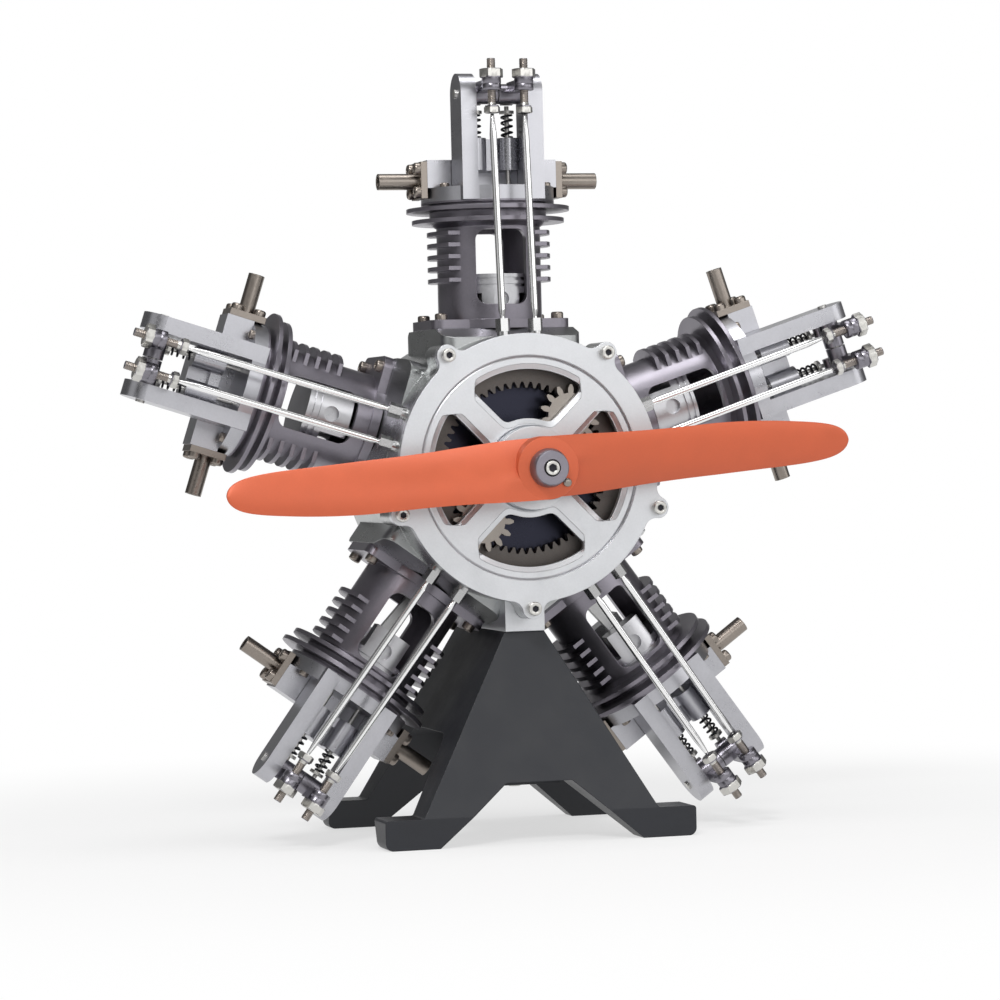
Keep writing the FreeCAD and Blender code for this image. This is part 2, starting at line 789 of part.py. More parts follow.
# Cylinder barrel: a turned profile, five fins on each side and a window through front and back
barrel_body = doc.addObject("PartDesign::Body", "barrel_body")
neck, fin_half = size("ring_fin_neck"), size("fin_thickness") / 2
barrel_profile = [(0, size("pad_reach") - size("spigot_length")),
                  (size("spigot_round"), size("pad_reach") - size("spigot_length")),
                  (size("spigot_round"), size("pad_reach")),
                  (size("barrel_flange_round"), size("pad_reach")),
                  (size("barrel_flange_round"), size("pad_reach") + size("barrel_flange_height")),
                  (size("barrel_round"), size("pad_reach") + size("barrel_flange_height")),
                  (size("barrel_round"), size("lower_ring_fin") - 3 * fin_half)]
for fin, reach in (("lower_ring_fin", "lower_ring_round"), ("upper_ring_fin", "upper_ring_round")):
    middle, rim = size(fin), size(reach)
    barrel_profile += [(neck, middle - fin_half), (rim, middle - fin_half),
                       (rim, middle + fin_half), (neck, middle + fin_half)]
barrel_profile += [(neck, size("head_bottom") - fin_half),
                   (size("head_round"), size("head_bottom") - fin_half),
                   (size("head_round"), size("head_bottom")), (0, size("head_bottom"))]
spun(barrel_body, outline(sketch_on(barrel_body, "XZ_Plane", "barrel_profile"), barrel_profile),
     "barrel_turning")

fin_body = doc.addObject("PartDesign::Body", "fin_body")
fin_base = (size("bore_round") + size("barrel_round")) / 2
fin_count = int(size("side_fin_count"))
fin_places = [size("side_fin_first") + n * size("side_fin_pitch") for n in range(fin_count)]
fin_profile = [(fin_base, fin_places[0] - 2 * fin_half)]
for place in fin_places:
    fin_profile += [(size("barrel_round"), place - fin_half), (size("side_fin_round"), place - fin_half),
                    (size("side_fin_round"), place + fin_half), (size("barrel_round"), place + fin_half)]
fin_profile.append((fin_base, fin_places[-1] + 2 * fin_half))
spun(fin_body, outline(sketch_on(fin_body, "XZ_Plane", "fin_profile"), fin_profile), "fin_turning")
fin_limits = block("fin_limits", ("- side_fin_round - 1", "side_fin_round + 1"),
                   ("- side_fin_half_depth", "side_fin_half_depth"), ("pad_reach", "head_bottom"))
side_fins = common("side_fins", fin_body, fin_limits)

flange_body = doc.addObject("PartDesign::Body", "flange_body")
flange_reach = (size("flange_half_width"), size("flange_half_depth"))
flange_sketch = rounded_box(sketch_on(flange_body, "XY_Plane", "flange_outline", size("pad_reach")),
                            (-flange_reach[0], -flange_reach[1]), flange_reach, size("flange_corner"))
pad(flange_body, flange_sketch, "barrel_flange_height", "flange_plate")

barrel_window_body = doc.addObject("PartDesign::Body", "barrel_window_body")
window_half = size("barrel_window_width") / 2
barrel_window_sketch = rounded_box(sketch_on(barrel_window_body, "XZ_Plane", "barrel_window_outline",
                                             -size("flange_half_width")),
                                   (-window_half, size("barrel_window_low")),
                                   (window_half, size("barrel_window_high")), size("barrel_window_corner"))
pad(barrel_window_body, barrel_window_sketch, "flange_half_width * 2", "barrel_window")
barrel_bore = round_bar("barrel_bore", "bore_round", "pad_reach - spigot_length - 1", "head_bottom + 1")
barrel = cut("barrel", fuse("barrel_blank", barrel_body, side_fins, flange_body), barrel_bore,
             barrel_window_body)
sub_part("cylinders", around_case("barrels", barrel))

# Cylinder head: base plate, port block, two cheeks for the rocker shaft and a tower for the valve guides
head_disc = round_bar("head_disc", "head_round", "head_bottom", "head_top")
head_lip = block("head_lip", ("- cheek_outer", "cheek_outer"), ("- head_front", "0"),
                 ("head_bottom", "head_top"))
port_block = block("port_block", ("- port_half_width", "port_half_width"),
                   ("- port_half_depth", "port_half_depth"), ("head_top", "port_top"))
tower = block("tower", ("- cheek_inner", "cheek_inner"), ("- tower_front", "port_half_depth"),
              ("port_top", "tower_top"))
pivot_depth = "( head_front + cheek_back ) / 2"
cheek_post = block("cheek_post", ("cheek_inner", "cheek_outer"), ("- head_front", "- cheek_back"),
                   ("head_top", "pivot_reach"))
cheek_crown = round_bar("cheek_crown", "( head_front - cheek_back ) / 2", "cheek_inner", "cheek_outer",
                        along="x", at_y=f"- {pivot_depth}", at_z="pivot_reach")
cheek = fuse("cheek", cheek_post, cheek_crown)
sleeve = round_bar("sleeve", "sleeve_round", "sleeve_bottom", "tower_top", at_x="valve_side",
                   at_y="- valve_depth")
head_blank = fuse("head_blank", head_disc, head_lip, port_block, tower, cheek, mirrored("cheek_left", cheek),
                  sleeve, mirrored("sleeve_left", sleeve))
valve_pocket = block("valve_pocket", ("- cheek_inner", "cheek_inner"), ("- head_front", "pocket_back"),
                     ("head_top", "sleeve_bottom"))
valve_guide = round_bar("valve_guide", "stem_round + running_gap", "head_bottom - 1", "tower_top + 1",
                        at_x="valve_side", at_y="- valve_depth")
shaft_hole = round_bar("rocker_shaft_hole", "rocker_shaft_round", "- cheek_outer - 1", "cheek_outer + 1",
                       along="x", at_y=f"- {pivot_depth}", at_z="pivot_reach")
cylinder_head = cut("cylinder_head", head_blank, valve_pocket, valve_guide,
                    mirrored("valve_guide_left", valve_guide), shaft_hole)
sub_part("cylinder_heads", around_case("heads", cylinder_head))

# Port pipes, each with its flange plate
pipe_flange = block("pipe_flange_plate", ("port_half_width", "port_half_width + pipe_flange"),
                    ("- port_half_depth", "port_half_depth"), ("pipe_flange_low", "pipe_flange_high"))
pipe_tube = round_bar("pipe_tube", "pipe_round", "port_half_width", "pipe_end", along="x", at_z="pipe_reach")
pipe_hole = round_bar("pipe_hole", "pipe_bore", "port_half_width + pipe_flange", "pipe_end + 1", along="x",
                      at_z="pipe_reach")
port_pipe = cut("port_pipe", fuse("pipe_blank", pipe_flange, pipe_tube), pipe_hole)
pipe_pair = group("pipe_pair", port_pipe, mirrored("port_pipe_left", port_pipe))
sub_part("port_pipes", around_case("pipes", pipe_pair))

# Rocker shafts
rocker_shaft = round_bar("rocker_shaft", "rocker_shaft_round", "- cheek_outer - rocker_shaft_end",
                         "cheek_outer + rocker_shaft_end",
                         along="x", at_y=f"- {pivot_depth}", at_z="pivot_reach")
sub_part("rocker_shafts", around_case("shafts", rocker_shaft))

# Valve springs, as the tube that the coil fills
valve_spring = cut("valve_spring",
                   round_bar("spring_outside", "spring_round", "tower_top", "spring_top", at_x="valve_side",
                             at_y="- valve_depth"),
                   round_bar("spring_inside", "spring_bore", "tower_top - 1", "spring_top + 1",
                             at_x="valve_side", at_y="- valve_depth"))
spring_pair = group("spring_pair", valve_spring, mirrored("valve_spring_left", valve_spring))
sub_part("valve_springs", around_case("springs", spring_pair))

# Valve: head, stem and spring retainer, turned in one piece
at_valve = {"at_x": "valve_side", "at_y": "- valve_depth"}
valve = fuse("valve",
             round_bar("valve_head", "valve_head_round", "valve_head_low",
                       "valve_head_low + valve_head_height",
                       **at_valve),
             round_bar("valve_stem", "stem_round", "valve_head_low", "valve_tip", **at_valve),
             round_bar("retainer", "retainer_round", "retainer_low", "retainer_low + retainer_height",
                       **at_valve))

# Rocker: hub on the shaft, front arm with collar, adjuster screw and lock nut, rear arm with a rounded pad
rocker_hub = round_bar("rocker_hub", "rocker_hub_round", "face_gap / 2", "cheek_inner - face_gap", along="x",
                       at_y=f"- {pivot_depth}", at_z="pivot_reach")
front_arm = block("front_arm", ("valve_side - arm_half_width", "valve_side + arm_half_width"),
                  ("- collar_depth", f"- {pivot_depth}"), ("arm_low", "arm_low + arm_height"))
collar = round_bar("collar", "collar_round", "collar_low", "collar_low + collar_height", at_x="valve_side",
                   at_y="- collar_depth")
rear_arm = block("rear_arm", ("valve_side - arm_half_width", "valve_side + arm_half_width"),
                 (f"- {pivot_depth}", "- valve_depth"),
                 ("rocker_pad_reach - rear_arm_drop", "rocker_pad_reach + rocker_pad_round"))
rocker_pad = round_bar("rocker_pad", "rocker_pad_round", "valve_side - arm_half_width",
                       "valve_side + arm_half_width", along="x", at_y="- valve_depth",
                       at_z="rocker_pad_reach")
at_collar = {"at_x": "valve_side", "at_y": "- collar_depth"}
adjuster = round_bar("adjuster_shank", "adjuster_round", "adjuster_foot", "adjuster_tip", **at_collar)
adjuster_foot = hexagon("adjuster_foot_hex", "adjuster_foot_flats", "adjuster_foot",
                        "adjuster_foot + adjuster_foot_height", **at_collar)
lock_nut = hexagon("lock_nut", "lock_nut_flats", "collar_low + collar_height",
                   "collar_low + collar_height + lock_nut_height", **at_collar)
rocker_blank = fuse("rocker_blank", rocker_hub, front_arm, collar, rear_arm, rocker_pad, adjuster,
                    adjuster_foot,
                    lock_nut)
rocker = cut("rocker", rocker_blank,
             round_bar("rocker_bore", "rocker_shaft_round + running_gap", "- 1", "cheek_inner + 1",
                       along="x", at_y=f"- {pivot_depth}", at_z="pivot_reach"))

# Pushrod, tapered at both ends, whose thin foot runs in the guide bush down to the cam
top_end = "- pushrod_taper"
low_end = "guide_reach + guide_height + pushrod_shoulder_high - pushrod_top"
foot_top = "guide_reach + guide_height + pushrod_shoulder_low - pushrod_top"
pushrod_line = fuse("pushrod_line",
                    taper("pushrod_tip", "pushrod_round", "pushrod_tip_round", top_end, "0"),
                    round_bar("pushrod_shank", "pushrod_round", low_end, top_end),
                    taper("pushrod_shoulder", "pushrod_neck", "pushrod_round", foot_top, low_end),
                    round_bar("pushrod_foot", "pushrod_neck", "tappet_end - pushrod_top", foot_top))
pushrod = leaned("pushrod", pushrod_line)

sides = {"intake": [mirrored(name + "_left", piece) for name, piece in
                    (("valve", valve), ("rocker", rocker), ("pushrod", pushrod))],
         "exhaust": [valve, rocker, pushrod]}
for n in range(cylinder_count):
    for side, (side_valve, side_rocker, side_pushrod) in sides.items():
        turn = n * cylinder_step
        sub_part(f"valve_{n + 1}_{side}", side_valve, turn=turn)
        sub_part(f"rocker_{n + 1}_{side}", side_rocker, turn=turn)
        sub_part(f"pushrod_{n + 1}_{side}", side_pushrod, turn=turn)

# Piston with two ring grooves, a flat-sided skirt and its wrist pin, drawn about the pin's centre
piston_round = "bore_round - piston_clearance"
crown = round_bar("crown", piston_round, "crown_height - crown_thickness", "crown_height")
skirt_round = round_bar("skirt_round", piston_round, "- skirt_length", "crown_height - crown_thickness")
skirt_limits = block("skirt_limits", ("- skirt_half_width", "skirt_half_width"),
                     ("- bore_round", "bore_round"),
                     ("- skirt_length - 1", "crown_height - crown_thickness"))
skirt = common("skirt", skirt_round, skirt_limits)
skirt_slot = block("skirt_slot_cut", ("- skirt_half_width - 1", "skirt_half_width + 1"),
                   ("- skirt_slot", "skirt_slot"), ("- skirt_length - 1", "small_end_round + face_gap"))
grooves = []
for n in range(2):
    low = f"crown_height - {n + 1} * ring_pitch"
    grooves.append(cut(f"groove_{n + 1}",
                       round_bar(f"groove_outside_{n + 1}", "bore_round + 1", low, f"{low} + ring_height"),
                       round_bar(f"groove_inside_{n + 1}", f"{piston_round} - ring_depth", f"{low} - 1",
                                 f"{low} + ring_height + 1")))
pin_hole = round_bar("pin_hole", "wrist_pin_round", "- bore_round", "bore_round", along="y")
piston = cut("piston", fuse("piston_blank", crown, skirt), skirt_slot, pin_hole, *grooves)
wrist_pin = round_bar("wrist_pin", "wrist_pin_round", "wrist_pin_end - bore_round",
                      "bore_round - wrist_pin_end", along="y")
piston_with_pin = group("piston_with_pin", piston, wrist_pin)

# Connecting rods, from the wrist pins to the link pins of the hub, with the crank straight down
rod_length = size("pin_reach_mean") - size("link_pin_pitch")
rod_layers = [0, 0, -1, 1, 0]
small_eye = round_bar("small_eye", "small_end_round", "- rod_thickness / 2", "rod_thickness / 2", along="y")
big_eye = round_bar("big_eye", "rod_eye_round", "- rod_thickness / 2", "rod_thickness / 2", along="y",
                    at_z="link_pin_pitch - pin_reach_mean")
shank = block("shank", ("- rod_shank_width / 2", "rod_shank_width / 2"),
              ("- rod_thickness / 2", "rod_thickness / 2"), ("link_pin_pitch - pin_reach_mean", "0"))
rod_holes = [round_bar("small_eye_hole", "wrist_pin_round + running_gap", "- rod_thickness", "rod_thickness",
                       along="y"),
             round_bar("big_eye_hole", "link_pin_round + running_gap", "- rod_thickness", "rod_thickness",
                       along="y", at_z="link_pin_pitch - pin_reach_mean")]
connecting_rod = cut("connecting_rod", fuse("rod_blank", small_eye, big_eye, shank), *rod_holes)
throw = size("crank_throw")
for n in range(cylinder_count):
    along = math.radians(90 - n * cylinder_step)
    link_x = size("link_pin_pitch") * math.cos(along)
    link_z = size("link_pin_pitch") * math.sin(along) - throw
    reach = link_x * math.cos(along) + link_z * math.sin(along)
    offset = link_x * math.sin(along) - link_z * math.cos(along)
    pin_reach = reach + math.sqrt(rod_length ** 2 - offset ** 2)
    lean = math.degrees(math.asin(offset / rod_length))
    layer = f"{rod_layers[n]} * rod_layer_pitch"
    turn = n * cylinder_step
    sub_part(f"piston_{n + 1}", lifted(f"piston_{n + 1}_at_pin", piston_with_pin, z=str(pin_reach)),
             turn=turn)
    sub_part(f"connecting_rod_{n + 1}",
             lifted(f"rod_{n + 1}_at_pin", connecting_rod, y=layer, z=str(pin_reach),
                    rotation=Rotation(Y_AXIS, -lean)), turn=turn)

# Crankshaft: journal, propeller flange, web with counterweight and crank pin
journal = round_bar("journal", "shaft_round", "- propeller_back - propeller_thickness", "- web_front",
                    along="y")
nose_stub = round_bar("nose_stub", "stub_round", "- propeller_back - propeller_thickness - stub_length",
                      "- propeller_back", along="y")
propeller_flange = round_bar("propeller_flange", "flange_round", "- propeller_back",
                             "flange_thickness - propeller_back", along="y")
flange_hub = round_bar("flange_hub", "flange_hub_round", "- propeller_back",
                       "- cover_boss_front - face_gap", along="y")
web_arm = block("web_arm", ("- web_half_width", "web_half_width"), ("- web_front", "- web_back"),
                ("- crank_throw", "counterweight_low + face_gap"))
web_end = round_bar("web_end", "web_half_width", "- web_front", "- web_back", along="y",
                    at_z="- crank_throw")
weight_round = round_bar("weight_round", "counterweight_round", "- web_front", "- web_back", along="y")
weight_limits = block("weight_limits", ("- counterweight_round", "counterweight_round"),
                      ("- web_front - 1", "- web_back + 1"),
                      ("counterweight_low", "counterweight_round + 1"))
counterweight = common("counterweight", weight_round, weight_limits)
hub_front = "- web_back + face_gap"
crank_pin = round_bar("crank_pin", "pin_round", "- web_front", f"{hub_front} + hub_thickness + face_gap",
                      along="y", at_z="- crank_throw")
pin_washer = round_bar("pin_washer", "pin_washer_round", f"{hub_front} + hub_thickness + face_gap",
                       f"{hub_front} + hub_thickness + face_gap + pin_washer_thickness", along="y",
                       at_z="- crank_throw")
oil_hole = round_bar("oil_hole", "oil_plug_round + running_gap", "- web_front - 1", "- web_back + 1",
                     along="y",
                     at_z="- crank_throw / 2")
crank_blank = fuse("crank_blank", journal, nose_stub, propeller_flange, flange_hub, web_arm, web_end,
                   counterweight, crank_pin, pin_washer)
sub_part("crankshaft", cut("crank_forging", crank_blank, oil_hole))
sub_part("crank_plug", round_bar("oil_plug", "oil_plug_round", "- web_front", "- web_back", along="y",
                                 at_z="- crank_throw / 2"))

# Hub of the connecting rods on the crank pin, with five link pins
hub_plate = round_bar("hub_plate", "hub_round", hub_front, f"{hub_front} + hub_thickness", along="y",
                      at_z="- crank_throw")
link_pin = round_bar("link_pin", "link_pin_round", hub_front,
                     f"{hub_front} + hub_thickness + link_pin_length", along="y", at_z="link_pin_pitch")
link_pins = lifted("link_pins", around_case("link_pin_ring", link_pin), z="- crank_throw")
hub_bore = round_bar("hub_bore", "pin_round + running_gap", "- web_back", "0", along="y",
                     at_z="- crank_throw")
sub_part("rod_hub", cut("hub_turned", fuse("hub_blank", hub_plate, link_pins), hub_bore))

# Timing gears: sun on the crankshaft, two compound idlers and the cam ring
drive, fine, slack = size("drive_module"), size("cam_module"), size("backlash")
sun_teeth, idler_teeth = int(size("sun_teeth")), int(size("idler_teeth"))
pinion_teeth, cam_teeth = int(size("pinion_teeth")), int(size("cam_teeth"))
addendum, dedendum = size("addendum"), size("dedendum")
mesh_angle = size("idler_angle")


def gear(name, teeth, module, phase, front, width, place=(0.0, 0.0)):
    """An external spur gear with a tooth centred at the phase angle."""
    pitch = module * teeth / 2
    corners = tooth_outline(teeth, module, phase, pitch + addendum * module, pitch - dedendum * module,
                            slack)
    return toothed_wheel(name, corners, front, width, *place)


front_face, gear_width = size("front_gear_front"), size("front_gear_width")
sun_blank = gear("sun_blank", sun_teeth, drive, mesh_angle, front_face, gear_width)
sun_hole = round_bar("sun_hole", "shaft_round + press_gap", "- nose_front", "- partition_front", along="y")
sub_part("sun_gear", cut("sun_gear_cut", sun_blank, sun_hole))
ring_front, ring_back = size("cam_ring_front"), size("cam_ring_back")
track_width = ring_front - size("partition_front") - size("cam_seat_height") - size("face_gap")
half_tooth = 180.0 / idler_teeth
for n, (x, z) in enumerate(idler_places()):
    direction = mesh_angle + 180.0 * n
    sun_gap = direction + 180.0 + (half_tooth if n == 0 else 0.0)
    big_gear = gear(f"idler_big_{n + 1}", idler_teeth, drive, sun_gap, front_face, gear_width, (x, z))
    pinion = gear(f"idler_pinion_{n + 1}", pinion_teeth, fine, direction, ring_front, track_width, (x, z))
    spacer = round_bar(f"idler_spacer_{n + 1}", "idler_axle_round + idler_spacer_wall", "- front_gear_front",
                       "- partition_front - spacer_end_gap", along="y", at_x=str(x), at_z=str(z))
    axle_bore = round_bar(f"idler_bore_{n + 1}", "idler_axle_round + running_gap", "- nose_front",
                          "- partition_front + 1", along="y", at_x=str(x), at_z=str(z))
    sub_part(f"idler_gear_{n + 1}", cut(f"idler_{n + 1}", fuse(f"idler_blank_{n + 1}", big_gear, pinion,
                                                               spacer),
                                        axle_bore))

cam_pitch = fine * cam_teeth / 2
space_corners = tooth_outline(cam_teeth, fine, mesh_angle, cam_pitch + dedendum * fine,
                              cam_pitch - addendum * fine, -slack)
ring_space = toothed_wheel("ring_space", space_corners, ring_front + 1, ring_front + 2 - ring_back)
cam_round = round_bar("cam_round", "cam_base_round", "- cam_ring_front", "- cam_ring_back", along="y")
cam_lobe = round_bar("cam_lobe", "cam_lobe_round", "- cam_ring_front", "- cam_ring_back", along="y",
                     at_z="cam_lobe_reach - cam_lobe_round")
cam_blank = fuse("cam_blank", cam_round, *[turned(f"cam_lobe_{n + 1}", cam_lobe,
                                                  size("cam_lobe_angle") + 180 * n) for n in range(2)])
cam_seat_run = round_bar("cam_seat_run", "cam_seat_round + running_gap",
                         "- partition_front - cam_seat_height - face_gap", "- partition_front", along="y")
sub_part("cam_ring", cut("cam_ring_cut", cam_blank, ring_space, cam_seat_run))

# Propeller: a boss and two twisted blades, each station in shares of the blade's size and its pitch
blade_stations = [(0.037, 0.90, 1.20, 14.0), (0.136, 0.993, 1.16, 23.0), (0.309, 1.0, 1.0, 23.0),
                  (0.494, 0.98, 0.84, 18.5), (0.679, 0.879, 0.68, 15.0), (0.84, 0.698, 0.56, 13.0),
                  (0.938, 0.497, 0.44, 12.0), (0.985, 0.309, 0.36, 11.5), (1.0, 0.121, 0.28, 11.5)]


def blade_section(name, reach, height, thickness, pitch):
    """A lens across the blade, its chord turned by the pitch and its front more arched than its back."""
    section = doc.addObject("Sketcher::SketchObject", name)
    half_chord = height * size("blade_height") / math.cos(math.radians(pitch)) / 2
    depth, share = thickness * size("blade_thickness"), size("blade_front_share")
    low, high = Vector(0, -half_chord, 0), Vector(0, half_chord, 0)
    front, back = Vector(-share * depth, 0, 0), Vector((1 - share) * depth, 0, 0)
    section.addGeometry(Part.Arc(low, back, high), False)
    section.addGeometry(Part.Arc(high, front, low), False)
    across = Rotation(Vector(0, 1, 0), Vector(0, 0, 1), Vector(1, 0, 0), "ZXY")
    section.Placement = Placement(Vector(), Rotation(Vector(1, 0, 0), pitch) * across)
    return bind(section, at_x=f"{reach} * blade_reach", at_y="- propeller_back - propeller_thickness / 2")


blade = doc.addObject("Part::Loft", "blade")
blade.Sections = [blade_section(f"blade_section_{n}", *station)
                  for n, station in enumerate(blade_stations, start=1)]
blade.Solid = True
blade.Ruled = False
opposite_blade = turned("opposite_blade", blade, 180)
propeller_boss = round_bar("propeller_boss", "propeller_boss_round",
                           "- propeller_back - propeller_thickness",
                           "- propeller_back", along="y")
shaft_bore = round_bar("propeller_bore", "shaft_round + press_gap",
                       "- propeller_back - propeller_thickness - 1",
                       "- propeller_back + 1", along="y")
pin_x, pin_z = on_case(size("drive_pin_pitch"), size("drive_pin_angle"))
drive_hole = round_bar("drive_hole", "drive_pin_round", "- propeller_back - propeller_thickness - 1",
                       "- propeller_back + 1", along="y", at_x=str(pin_x), at_z=str(pin_z))
flange_room = round_bar("flange_room", "flange_round + face_gap", "- propeller_back", "- propeller_back + 2",
                        along="y")
propeller = cut("propeller_cut", fuse("propeller_blank", propeller_boss, blade, opposite_blade),
                shaft_bore, drive_hole, flange_room)
rest_tilt = -size("propeller_rest_angle")
sub_part("propeller", turned("propeller_at_rest", propeller, rest_tilt))

# Propeller nut with its end screw, and the drive pin beside it
nut_back = "- propeller_back - propeller_thickness"
nut_front = f"{nut_back} - propeller_nut_height"
nut = cut("nut_turned",
          fuse("nut_blank",
               round_bar("nut_body", "propeller_nut_round", nut_front, nut_back, along="y"),
               round_bar("end_screw", "end_screw_round", f"{nut_front} - end_screw_height", nut_back,
                         along="y")),
          round_bar("nut_bore", "stub_round + press_gap", f"{nut_back} - stub_length - press_gap", nut_back,
                    along="y"))
drive_pin = round_bar("drive_pin", "drive_pin_round - press_gap", f"{nut_back} - drive_pin_height",
                      "- propeller_back", along="y",
                      at_x=str(pin_x), at_z=str(pin_z))
sub_part("propeller_nut", turned("nut_at_rest", group("nut_and_pin", nut, drive_pin), rest_tilt))

# Stand: an A-shaped block with an arch from front to back and another from side to side
ground = -size("axis_height")
top = ground + size("stand_top")
ankle = ground + size("ankle_height")
edge, toe = size("stand_corner"), size("foot_corner")
half_outline = [((size("stand_top_half_width"), top), 0), ((size("ankle_half_width"), ankle), edge),
                ((size("foot_half_width"), ankle), edge), ((size("foot_half_width"), ground), toe),
                ((size("arch_foot_half_width"), ground), 0),
                ((size("arch_top_half_width"), ground + size("arch_top")), edge)]
whole_outline = half_outline + [((-x, z), radius) for (x, z), radius in reversed(half_outline)]
stand_body = doc.addObject("PartDesign::Body", "stand_body")
stand_sketch = softened(sketch_on(stand_body, "XZ_Plane", "stand_outline", -size("stand_rear")),
                        [point for point, radius in whole_outline],
                        [radius for point, radius in whole_outline])
pad(stand_body, stand_sketch, "stand_front + stand_rear", "stand_blank")
side_outline = [((-size("stand_front"), ground), 0), ((-size("stand_front"), ankle), toe),
                ((-size("stand_top_front"), top), 0), ((size("stand_top_rear"), top), 0),
                ((size("stand_rear"), ankle), toe), ((size("stand_rear"), ground), 0),
                ((size("side_arch_foot_rear"), ground), 0),
                ((size("side_arch_top_rear"), ground + size("side_arch_top")), size("side_arch_corner")),
                ((-size("side_arch_top_front"), ground + size("side_arch_top")), size("side_arch_corner")),
                ((-size("side_arch_foot_front"), ground), 0)]
side_body = doc.addObject("PartDesign::Body", "side_body")
side_sketch = softened(sketch_on(side_body, "YZ_Plane", "side_outline", -size("foot_half_width")),
                       [point for point, radius in side_outline], [radius for point, radius in side_outline])
pad(side_body, side_sketch, "foot_half_width * 2", "side_blank")
stand_plate = block("stand_plate", ("- arch_top_half_width", "arch_top_half_width"),
                    ("- stand_plate_front", "stand_plate_rear"),
                    ("arch_top - axis_height - stand_plate_wall", "arch_top - axis_height"))
sub_part("stand", fuse("stand_casting", common("stand_legs", stand_body, side_body), stand_plate))

doc.recompute()
for feature in doc.Objects:
    if {"Invalid", "Error"} & set(feature.State):
        raise RuntimeError(f"{feature.Name} failed: {feature.State}")
for piece in nodes:
    if piece.Shape.isNull() or not piece.Shape.isValid():
        raise RuntimeError(f"{piece.Label} has no valid shape")

os.makedirs("parts", exist_ok=True)
for piece in nodes:
    piece.Shape.exportStep(f"parts/{piece.Label}.step")
print(len(nodes), "sub-parts written")
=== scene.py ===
import json
import math

import bpy
import numpy as np
from mathutils import Matrix, Vector
from mathutils.geometry import tessellate_polygon


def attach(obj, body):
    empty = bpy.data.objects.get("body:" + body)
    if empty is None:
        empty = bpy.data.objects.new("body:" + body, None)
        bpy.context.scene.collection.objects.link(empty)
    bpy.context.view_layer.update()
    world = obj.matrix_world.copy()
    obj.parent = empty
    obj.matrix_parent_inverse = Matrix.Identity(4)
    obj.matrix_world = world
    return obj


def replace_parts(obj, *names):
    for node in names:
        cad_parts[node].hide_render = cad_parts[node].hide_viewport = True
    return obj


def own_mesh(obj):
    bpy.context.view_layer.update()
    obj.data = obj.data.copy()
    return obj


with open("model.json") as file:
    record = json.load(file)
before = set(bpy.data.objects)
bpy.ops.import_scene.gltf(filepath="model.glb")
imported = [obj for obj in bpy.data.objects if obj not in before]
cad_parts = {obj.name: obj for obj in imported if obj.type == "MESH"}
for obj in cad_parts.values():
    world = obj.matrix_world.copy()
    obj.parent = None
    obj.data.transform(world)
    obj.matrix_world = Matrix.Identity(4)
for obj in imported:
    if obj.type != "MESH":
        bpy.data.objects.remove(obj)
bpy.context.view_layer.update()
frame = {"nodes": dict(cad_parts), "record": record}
nodes = frame["nodes"]
scene = bpy.context.scene
mm = 0.001

# the engine's own frame: crank axis along Y, front towards -Y, heights from the crank axis, in millimetres;
# side -1 is a cylinder's intake and side 1 its exhaust
engine = {"y": 11.2, "z": 94.5, "cylinders": 5, "step": 72.0, "ports": ((-1, "intake"), (1, "exhaust"))}
drives = [{"turn": k * engine["step"], "number": k + 1, "side": side, "port": port}
          for k in range(engine["cylinders"]) for side, port in engine["ports"]]


def place(points):
    # engine frame in millimetres to the row frame in metres
    return (np.asarray(points, float) + [0.0, engine["y"], engine["z"]]) * mm


def turnY(points, degrees):
    # turn about the crank axis, clockwise as seen from the front
    a = math.radians(degrees)
    p = np.asarray(points, float)
    x = p[..., 0] * math.cos(a) + p[..., 2] * math.sin(a)
    z = -p[..., 0] * math.sin(a) + p[..., 2] * math.cos(a)
    return np.stack([x, p[..., 1], z], axis=-1)


# shared effects

def newGroup(name, inputs, outputs):
    group = bpy.data.node_groups.new(name, "ShaderNodeTree")
    for label, kind, value in inputs:
        socket = group.interface.new_socket(label, in_out="INPUT", socket_type=kind)
        socket.default_value = value
    for label, kind in outputs:
        group.interface.new_socket(label, in_out="OUTPUT", socket_type=kind)
    start = group.nodes.new("NodeGroupInput")
    end = group.nodes.new("NodeGroupOutput")
    return group, start, end


def addNode(tree, kind, **settings):
    node = tree.nodes.new(kind)
    for key, value in settings.items():
        setattr(node, key, value)
    return node


# pattern = grainShare * grain + patch - middle swings about 0 and drives tone and roughness with these gains
skinPattern = {"grainDetail": 3.0, "patchDetail": 4.0, "patchRough": 0.6, "grainShare": 0.45, "middle": 0.725,
               "toneGain": 4.0, "roughGain": 3.0}


